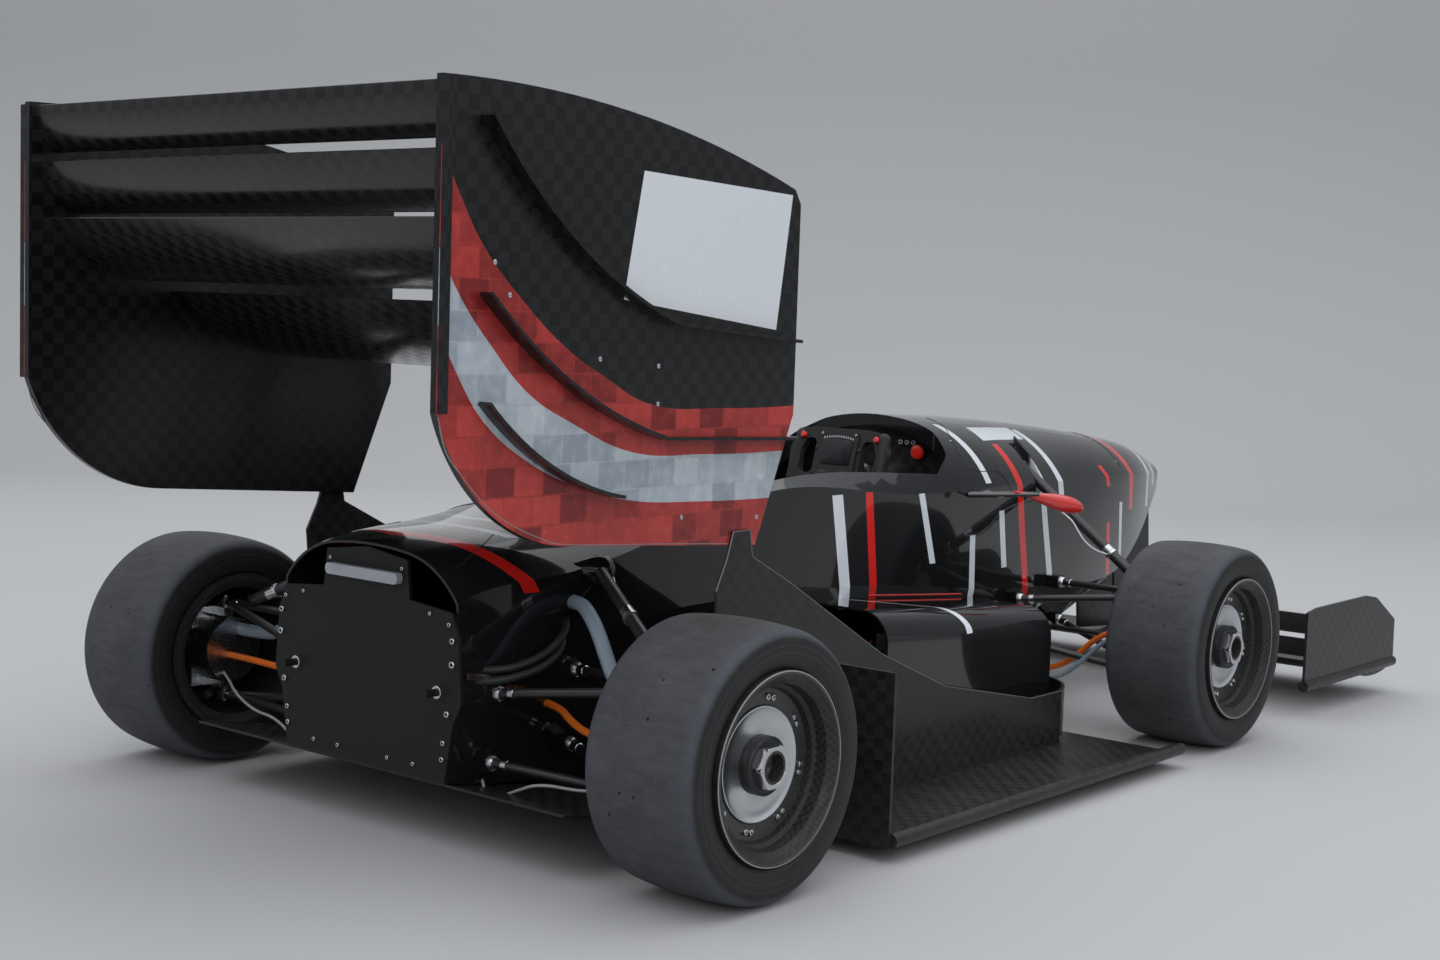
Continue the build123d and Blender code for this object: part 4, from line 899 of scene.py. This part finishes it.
for label, (side, half_track, axle) in WHEELS.items():
    hub = car((half_track, axle, AXLE_HEIGHT), side)
    out = np.array((side, 0.0, 0.0))
    body = f"wheel_{label}"
    for name, rows, steps, finish, slot in WHEEL_PARTS:
        piece = mesh_piece(f"{name}_{label}", [knob(hub, out, rows, steps)], finish, slot, body)
        if name == "slick":
            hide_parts(f"tyre_{label}")
    nut = knob(hub, out, HEX_PROFILE[::-1], steps=144)
    nut[HEX_ROWS] = cut_to_hexagon(nut[HEX_ROWS], hub, out, HEX_HALF_FLAT)
    mesh_piece(f"hub_nut_{label}", [nut], STEEL, "bare_aluminium", body, smooth=math.radians(25))
    heads = []
    for spot in range(8):
        for twin in (-3.7, 3.7):
            angle = math.radians(45 * spot + 12 + twin)
            place = hub + BOLT_RADIUS * np.array((0.0, math.cos(angle), math.sin(angle))) + out * BOLT_LEVEL
            heads.append(knob(place, out, BOLT_PROFILE, steps=16))
    mesh_piece(f"rim_bolts_{label}", heads, STEEL, "bare_aluminium", body)

# Cords from the body to the rear motor housings, in place of plain solids
CABLE_ROUTE = (
    (190, 1480, 216), (245, 1490, 216), (286, 1506, 201), (330, 1519, 192),
    (380, 1527, 190), (440, 1533, 193), (490, 1538, 196), (540, 1538, 196),
)
HOSE_ROUTE = (
    (205, 1442, 376), (252, 1456, 380), (290, 1474, 368), (322, 1487, 344),
    (350, 1498, 312), (378, 1508, 279), (418, 1514, 254), (466, 1511, 240.5),
    (540, 1511, 240.5),
)


def nurbs_curve(name, points):
    """An open NURBS curve of order 3 with the route's points as its control points."""
    curve = bpy.data.curves.new(name, "CURVE")
    curve.dimensions = "3D"
    curve.resolution_u = 24
    spline = curve.splines.new("NURBS")
    spline.points.add(len(points) - 1)
    for spot, place in zip(spline.points, points):
        spot.co = (*place, 1.0)
    spline.order_u = 3
    spline.use_endpoint_u = True
    piece = bpy.data.objects.new(name, curve)
    bpy.context.collection.objects.link(piece)
    return piece


def curve_points(points):
    """The line of a route's NURBS curve."""
    guide = nurbs_curve("guide", points)
    mesh = bpy.data.meshes.new_from_object(guide)
    rows = np.array([vertex.co[:] for vertex in mesh.vertices])
    bpy.data.objects.remove(guide)
    bpy.data.meshes.remove(mesh)
    return rows


for flip, side_name in SIDES:
    route = car(CABLE_ROUTE, flip)
    line = curve_points(route)
    cable = nurbs_curve(f"motor_cable_{side_name}", route)
    cable.data.bevel_depth = 0.006
    cable.data.bevel_resolution = 6
    cable.data.use_fill_caps = True
    dress(cable, ORANGE)
    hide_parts("motor_cables")
    route = car(HOSE_ROUTE, flip)
    line = curve_points(route)
    steps = 36
    angle = np.linspace(0.0, 2 * np.pi, steps, endpoint=False)
    lobes = 0.90 + 0.10 * np.abs(np.cos(1.5 * angle))
    rings = line[:, None] + (tube(line, 0.012, steps) - line[:, None]) * lobes[None, :, None]
    hose = mesh_piece(f"coolant_hose_{side_name}", [rings], HOSE, "hose_blue", cap=True)
    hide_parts("coolant_hoses")

# Suspension hardware: the wishbones' feet (two upper, two lower) and their outer ball joints (mm)
PICKUPS = {
    "front": ((250, -60, 284), (254, 118, 264), (208, -130, 190), (232, 125, 180)),
    "rear": ((232, 1440, 268), (228, 1608, 250), (214, 1430, 142), (214, 1606, 138)),
}
BALLS = {"front": (545, 0), "rear": (565, REAR_AXLE)}
BALL_HEIGHTS = (291, 291, 119, 119)
# The push rods: lower end, upper end (mm) and how far up the upper collar sits, as a share of the rod
PUSH_RODS = (((486, -4, 301), (178, -6, 529), 0.33), ((500, 1516, 299), (246, 1404, 424), 0.62))
LUG = [(0.2, 9.0), (9.5, 9.0), (11.0, 7.0), (12.5, 0.5), (12.5, -1.0)]
lugs, bolts, collars = [], [], []
for axle, feet in PICKUPS.items():
    for place, ball_z in zip(feet, BALL_HEIGHTS):
        for flip in (1, -1):
            foot, ball = car((place, (*BALLS[axle], ball_z)), flip)
            way = (ball - foot) / np.linalg.norm(ball - foot)
            lugs.append(knob(foot, (flip, 0, 0), LUG))
            bolts.append(cap_screw(foot + np.array((flip * 0.004, 0, 0.0075)), UP, 4.2))
            bolts.append(round_nut(foot + np.array((flip * 0.004, 0, -0.0075)), DOWN, 8.0, 4.0))
            collars.append(knob(foot + way * 0.020, way, [(7.7, 11.0), (8.8, 10.0), (8.8, 1.0), (7.7, 0.0)]))
            collars.append(knob(ball - way * 0.017, -way, [(7.7, 14.0), (8.9, 12.5), (8.9, 1.0), (7.7, 0.0)]))
for flip in (1, -1):
    for foot, top, share in PUSH_RODS:
        low, high = car((foot, top), flip)
        way = (high - low) / np.linalg.norm(high - low)
        for place, aim in ((low + way * 0.030, way), (low + (high - low) * share, -way)):
            collars.append(knob(place, aim, [(11.2, 16.0), (12.4, 15.0), (12.4, 1.0), (11.2, 0.0)]))
            lugs.append(round_nut(place + aim * 0.016, aim, 23.0, 7.0))
mesh_piece("arm_lugs", lugs, ALUMINIUM, "bare_aluminium")
mesh_piece("arm_bolts", bolts, STEEL, "bare_aluminium")
mesh_piece("arm_collars", collars, STEEL, "bare_aluminium")

# Steering wheel and dashboard
TILT = math.radians(16)
HUB = car((0, 433, 549))
WHEEL_OUT = np.array((0.0, math.cos(TILT), math.sin(TILT)))
WHEEL_UP = np.array((0.0, -math.sin(TILT), math.cos(TILT)))
# How far the faces of the wheel's middle and of its grips stand out of its hub (mm)
FACE, GRIP_FACE = 13.0, 8.0


def on_wheel(x, up, out):
    """A point on the steering wheel from millimetres to the left, up its face and out of it."""
    return HUB + (np.array((x, 0.0, 0.0)) + WHEEL_UP * up + WHEEL_OUT * out) / 1000


def panel(corners, thickness, way):
    """A small plate from four corners: its front ring, bevelled ring and back ring, to be capped."""
    corners = np.asarray(corners, float)
    way = np.asarray(way, float)
    middle = corners.mean(axis=0)
    edges = zip(corners, np.roll(corners, -1, axis=0))
    ring = np.array([start + (end - start) * share for start, end in edges for share in (0.06, 0.5, 0.94)])
    inner = middle + (ring - middle) * 0.94
    return np.array((inner + way * thickness, ring + way * thickness * 0.7, ring))


def oblong(x, up, width, height):
    """Four corners of an upright oblong on the steering wheel's face."""
    left, right, low, high = x - width / 2, x + width / 2, up - height / 2, up + height / 2
    return [on_wheel(*corner, FACE) for corner in ((left, low), (right, low), (right, high), (left, high))]


BUTTON = [(0.4, 8.4), (4.5, 8.2), (6.2, 6.8), (6.6, 5.0), (6.6, 0)]
DIAL = [(0.4, 9.0), (6.0, 9.0), (7.2, 8.0), (7.4, 2.0), (9.0, 1.0), (9.0, 0)]
THUMB_KNOB = [(0.4, 3.4), (3.2, 3.2), (3.8, 2.4), (3.8, 0)]
buttons = [knob(on_wheel(x, 46, GRIP_FACE), WHEEL_OUT, BUTTON) for x in (-92, 92)]
display = panel(oblong(0, 14, 74, 52), 0.002, WHEEL_OUT)
lights = [panel(oblong(x, 47 - 0.003 * x * x, 1.8, 4.5), 0.0012, WHEEL_OUT) for x in np.linspace(-36, 36, 13)]
dials = [knob(on_wheel(x, up, FACE), WHEEL_OUT, DIAL) for x, up in ((-26, -34), (0, -38), (26, -34))]
dials += [knob(on_wheel(x * 0.72, up, GRIP_FACE), WHEEL_OUT, THUMB_KNOB, steps=20)
          for x in (-74, 74) for up in (22, -30)]
wheel_screws = [cap_screw(on_wheel(x, up, FACE), WHEEL_OUT, 2.6) for up in (52, -52) for x in (-42, 42)]
mesh_piece("wheel_red_buttons", buttons, RED_KNOB, "mirror_red", "steering_wheel")
mesh_piece("wheel_display", [display], SCREEN, "grip_black", "steering_wheel", cap=True)
mesh_piece("wheel_lights", lights, PALE_MARK, "grip_black", "steering_wheel", cap=True)
mesh_piece("wheel_dials", dials, CASE_BLACK, "grip_black", "steering_wheel")
mesh_piece("wheel_screws", wheel_screws, STEEL, "grip_black", "steering_wheel")

DASH = skin("dashboard")
STOP_KNOB = [(0.5, 17.0), (9.0, 16.6), (14.0, 14.6), (16.0, 11.0), (15.0, 8.0), (10.0, 6.4), (9.0, 0.0)]
SWITCH = [(0.5, 12.0), (5.0, 11.6), (6.0, 10.0), (6.0, 3.0), (9.5, 2.0), (9.5, 0.0)]
DASH_RING = [(2.6, 1.6), (4.6, 1.6), (5.0, 0.8), (5.0, 0.0)]
for name, places, rows, finish, slot in (
    ("dash_stop_knob", ((-100, 568),), STOP_KNOB, RED_KNOB, "mirror_red"),
    ("dash_switches", ((100, 560), (60, 566)), SWITCH, CASE_BLACK, "grip_black"),
    ("dash_rings", ((-82, 586), (-66, 586), (-50, 586)), DASH_RING, PALE_MARK, "grip_black"),
):
    spots = laid(DASH, car([(x, 284, z) for x, z in places]), (0, -1, 0))
    mesh_piece(name, [knob(spot, BACK, rows, steps=28) for spot in spots], finish, slot)

# Mirrors, fairings, lines and screws


def teardrop(start, end, rows, flip):
    """Closed ellipses along the line from start to end (mm); rows give the share of the way, the half
    height and the half width (mm)."""
    start, end = car((start, end), flip)
    way = (end - start) / np.linalg.norm(end - start)
    over = np.array(UP) - way[2] * way
    over /= np.linalg.norm(over)
    aside = np.cross(way, over)
    angle = np.linspace(0.0, 2 * np.pi, 32, endpoint=False)[:, None]
    upright, level = np.cos(angle) * over / 1000, np.sin(angle) * aside / 1000
    rings = [start + (end - start) * share + high * upright + wide * level for share, high, wide in rows]
    return np.array(rings)


def swelling(full_high, full_wide, low=0.12, peak=0.72, count=26):
    """Rows for a teardrop: the share 3s^2 - 2s^3 of its full size up to the peak, then a round end."""
    rows = []
    for share in np.linspace(0.0, 1.0, count):
        grow = min(1.0, share / peak)
        size = low + (1 - low) * grow * grow * (3 - 2 * grow)
        if share > peak:
            size *= math.sqrt(max(0.0, 1 - ((share - peak) / (1 - peak)) ** 2))
        rows.append((share, full_high * size, full_wide * size))
    return rows


BLADE = [(0, 8, 36), (0.2, 7.5, 34), (0.45, 6.8, 30), (0.7, 6, 24), (0.9, 5, 17), (1, 3, 9)]
RED_LINE = [(-260, y, 289 + 0.085 * (y - 300)) for y in np.linspace(325, 668, 60)]
LINK = ((224, 1672, 288), (224, 1672, 277), (231, 1576, 263), (231, 1576, 274))
WING_SCREW = [(0.4, 1.6), (2.4, 1.5), (3.6, 0.8), (3.9, -0.4)]
WING_SCREWS = (
    (1677, 776), (1552, 766), (1551, 710.5), (1886, 904.5), (1857, 861.5), (1310, 530), (1490, 540),
)
FAIRING = swelling(27.0, 19.0, low=0.03, peak=0.8)
shells, blades, fairings, red_lines, links, plate_screws = [], [], [], [], [], []
for flip in (1, -1):
    shells.append(teardrop((322, 270, 504), (402, 128, 468), swelling(17.5, 12.5), flip))
    blades.append(teardrop((233, 304, 494), (352, 222, 498), BLADE, flip))
    fairings.append(teardrop((209, 1459, 436), (248, 1374, 420), FAIRING, flip))
    red_lines.append(tube(laid(BODY, car(RED_LINE, flip), (flip, 0, 0)), 0.002, steps=6))
    links.append(panel(car(LINK, flip), 0.0035, (flip, 0, 0)))
    for y, z in WING_SCREWS:
        plate_screws.append(knob(car((WING_SCREWS_OUT, y, z), flip), (flip, 0, 0), WING_SCREW, steps=16))
mesh_piece("mirror_shells", shells, MIRROR_RED, "mirror_red", cap=True)
mirror = mesh_piece("mirror_blades", blades, GLOSS_BLACK, "gloss_black", cap=True)
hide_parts("mirrors")
mesh_piece("damper_fairings", fairings, GLOSS_BLACK, "gloss_black", cap=True)
mesh_piece("pod_red_lines", red_lines, MIRROR_RED, "mirror_red")
mesh_piece("plate_links", links, STEEL, "bare_aluminium", cap=True)
mesh_piece("wing_plate_screws", plate_screws, STEEL, "bare_aluminium")

SMALL_LINES = (
    # name, diameter (mm), finish, slot, how stiff, whether its far end turns with a knuckle, route
    ("damper_line", 5.0, STEEL, "bare_aluminium", "stiff", False,
     ((244, 1380, 428), (262, 1384, 400), (284, 1396, 370), (318, 1424, 352), (352, 1444, 352),
      (374, 1458, 358))),
    ("rear_brake_hose", 13.0, RUBBER, "grip_black", "medium", False,
     ((196, 1440, 358), (232, 1462, 350), (258, 1500, 330), (264, 1545, 307), (250, 1592, 291),
      (222, 1626, 286), (196, 1640, 286))),
    ("rear_return_hose", 13.0, RUBBER, "grip_black", "medium", False,
     ((196, 1452, 336), (234, 1474, 328), (264, 1510, 309), (270, 1556, 288), (254, 1606, 276),
      (226, 1642, 271), (196, 1654, 271))),
    ("rear_sensor_line", 5.0, PALE_LINE, "hose_blue", "medium", False,
     ((160, 1590, 132), (190, 1602, 108), (206, 1610, 90), (234, 1612, 86), (272, 1610, 104),
      (320, 1606, 124), (400, 1590, 122), (480, 1570, 138), (520, 1556, 158), (560, 1545, 172))),
    ("front_motor_cable", 12.0, ORANGE, "cable_orange", "medium", True,
     ((160, 62, 108), (200, 62, 106), (270, 61, 108), (330, 57, 126), (362, 50, 153), (394, 46, 186),
      (428, 42, 207), (470, 32, 214), (510, 24, 213), (552, 18, 212))),
    ("front_coolant_hose", 10.0, HOSE, "hose_blue", "medium", True,
     ((160, 100, 104), (210, 102, 100), (290, 104, 98), (352, 104, 108), (400, 98, 150), (440, 88, 194),
      (480, 68, 220), (515, 48, 230), (552, 36, 234))),
    ("front_sensor_line", 4.0, PALE_MARK, "hose_blue", "limp", False,
     ((205, 8, 468), (245, 8, 460), (283, 8, 444), (310, 8, 427), (324, 8, 407), (343, 8, 384), (376, 8, 366),
      (402, 6, 364))),
)
for name, diameter, finish, slot, stiff, turns, points in SMALL_LINES:
    for flip, side_name in SIDES:
        route = car(points, flip)
        line = curve_points(route)
        rings = tube(line, diameter / 2000, steps=14)
        body = None if turns else "root"
        piece = mesh_piece(f"{name}_{side_name}", [rings], finish, slot, body, cap=True)
        if turns:
            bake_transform(piece)

# Head pad: foam under a cover, blown up a little by cloth pressure
PAD_CENTRE = car((0, 1003.5, 800))
PAD_HALF = np.array((0.093, 0.0215, 0.078))
# Powers of sine and cosine: 2 / 4.4 across and up, 2 / 3.2 through its thickness
PAD_ROUNDING, PAD_CROWN = 0.45, 0.62


def power(value, share):
    """A signed value's size to the power of share, with its sign."""
    return np.sign(value) * np.abs(value) ** share


def settle(piece):
    """Turns the piece's modifiers into its mesh."""
    depsgraph = bpy.context.evaluated_depsgraph_get()
    mesh = bpy.data.meshes.new_from_object(piece.evaluated_get(depsgraph))
    piece.modifiers.clear()
    piece.data = mesh


def make_head_pad():
    """A crowned pad: the superellipsoid |x/a|^4.4 + |y/b|^3.2 + |z/c|^4.4 = 1, remeshed and swelled by
    cloth, with piping round its rim."""
    u = np.linspace(-RIGHT, RIGHT, 25)
    v = np.linspace(0.0, 2 * np.pi, 48, endpoint=False)
    uu, vv = np.meshgrid(u, v, indexing="ij")
    reach = power(np.cos(uu), PAD_ROUNDING)
    x = reach * power(np.cos(vv), PAD_ROUNDING)
    z = reach * power(np.sin(vv), PAD_ROUNDING)
    form = PAD_CENTRE + np.stack((x, power(np.sin(uu), PAD_CROWN), z), axis=-1) * PAD_HALF
    pad = mesh_piece("head_pad_cover", [form], PAD_CLOTH, "pad_cover", smooth=math.radians(80))
    bpy.context.view_layer.objects.active = pad
    remesh = pad.modifiers.new("voxels", "REMESH")
    remesh.mode = "VOXEL"
    remesh.voxel_size = 0.005
    settle(pad)
    rest = np.array([vertex.co[:] for vertex in pad.data.vertices])
    cloth = pad.modifiers.new("cloth", "CLOTH")
    cloth.settings.use_pressure = True
    cloth.settings.uniform_pressure_force = 4.0
    cloth.settings.effector_weights.gravity = 0.0
    for step in range(1, 21):
        bpy.context.scene.frame_set(step)
    settle(pad)
    bpy.context.scene.frame_set(1)
    away = np.array([vertex.co[:] for vertex in pad.data.vertices]) - rest
    far = np.linalg.norm(away, axis=1)[:, None]
    most_swell = 0.004
    moved = rest + away * np.minimum(1.0, most_swell / np.maximum(far, 1e-9))
    pad.data.vertices.foreach_set("co", moved.ravel())
    pad.data.update()
    smooth = pad.modifiers.new("smooth", "SUBSURF")
    smooth.levels = smooth.render_levels = 1
    settle(pad)
    pad.data.shade_smooth()
    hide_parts("head_pad")
    angle = np.linspace(0.0, 2 * np.pi, 97)
    rim = np.stack((0.0935 * power(np.cos(angle), PAD_ROUNDING), np.full(97, 0.004),
                    0.0785 * power(np.sin(angle), PAD_ROUNDING)), axis=-1)
    mesh_piece("head_pad_piping", [tube(PAD_CENTRE + rim, 0.0016, steps=8)], PAD_CLOTH, "pad_cover")


make_head_pad()
make_stage()
make_camera()
bpy.context.scene.view_settings.view_transform = "Standard"
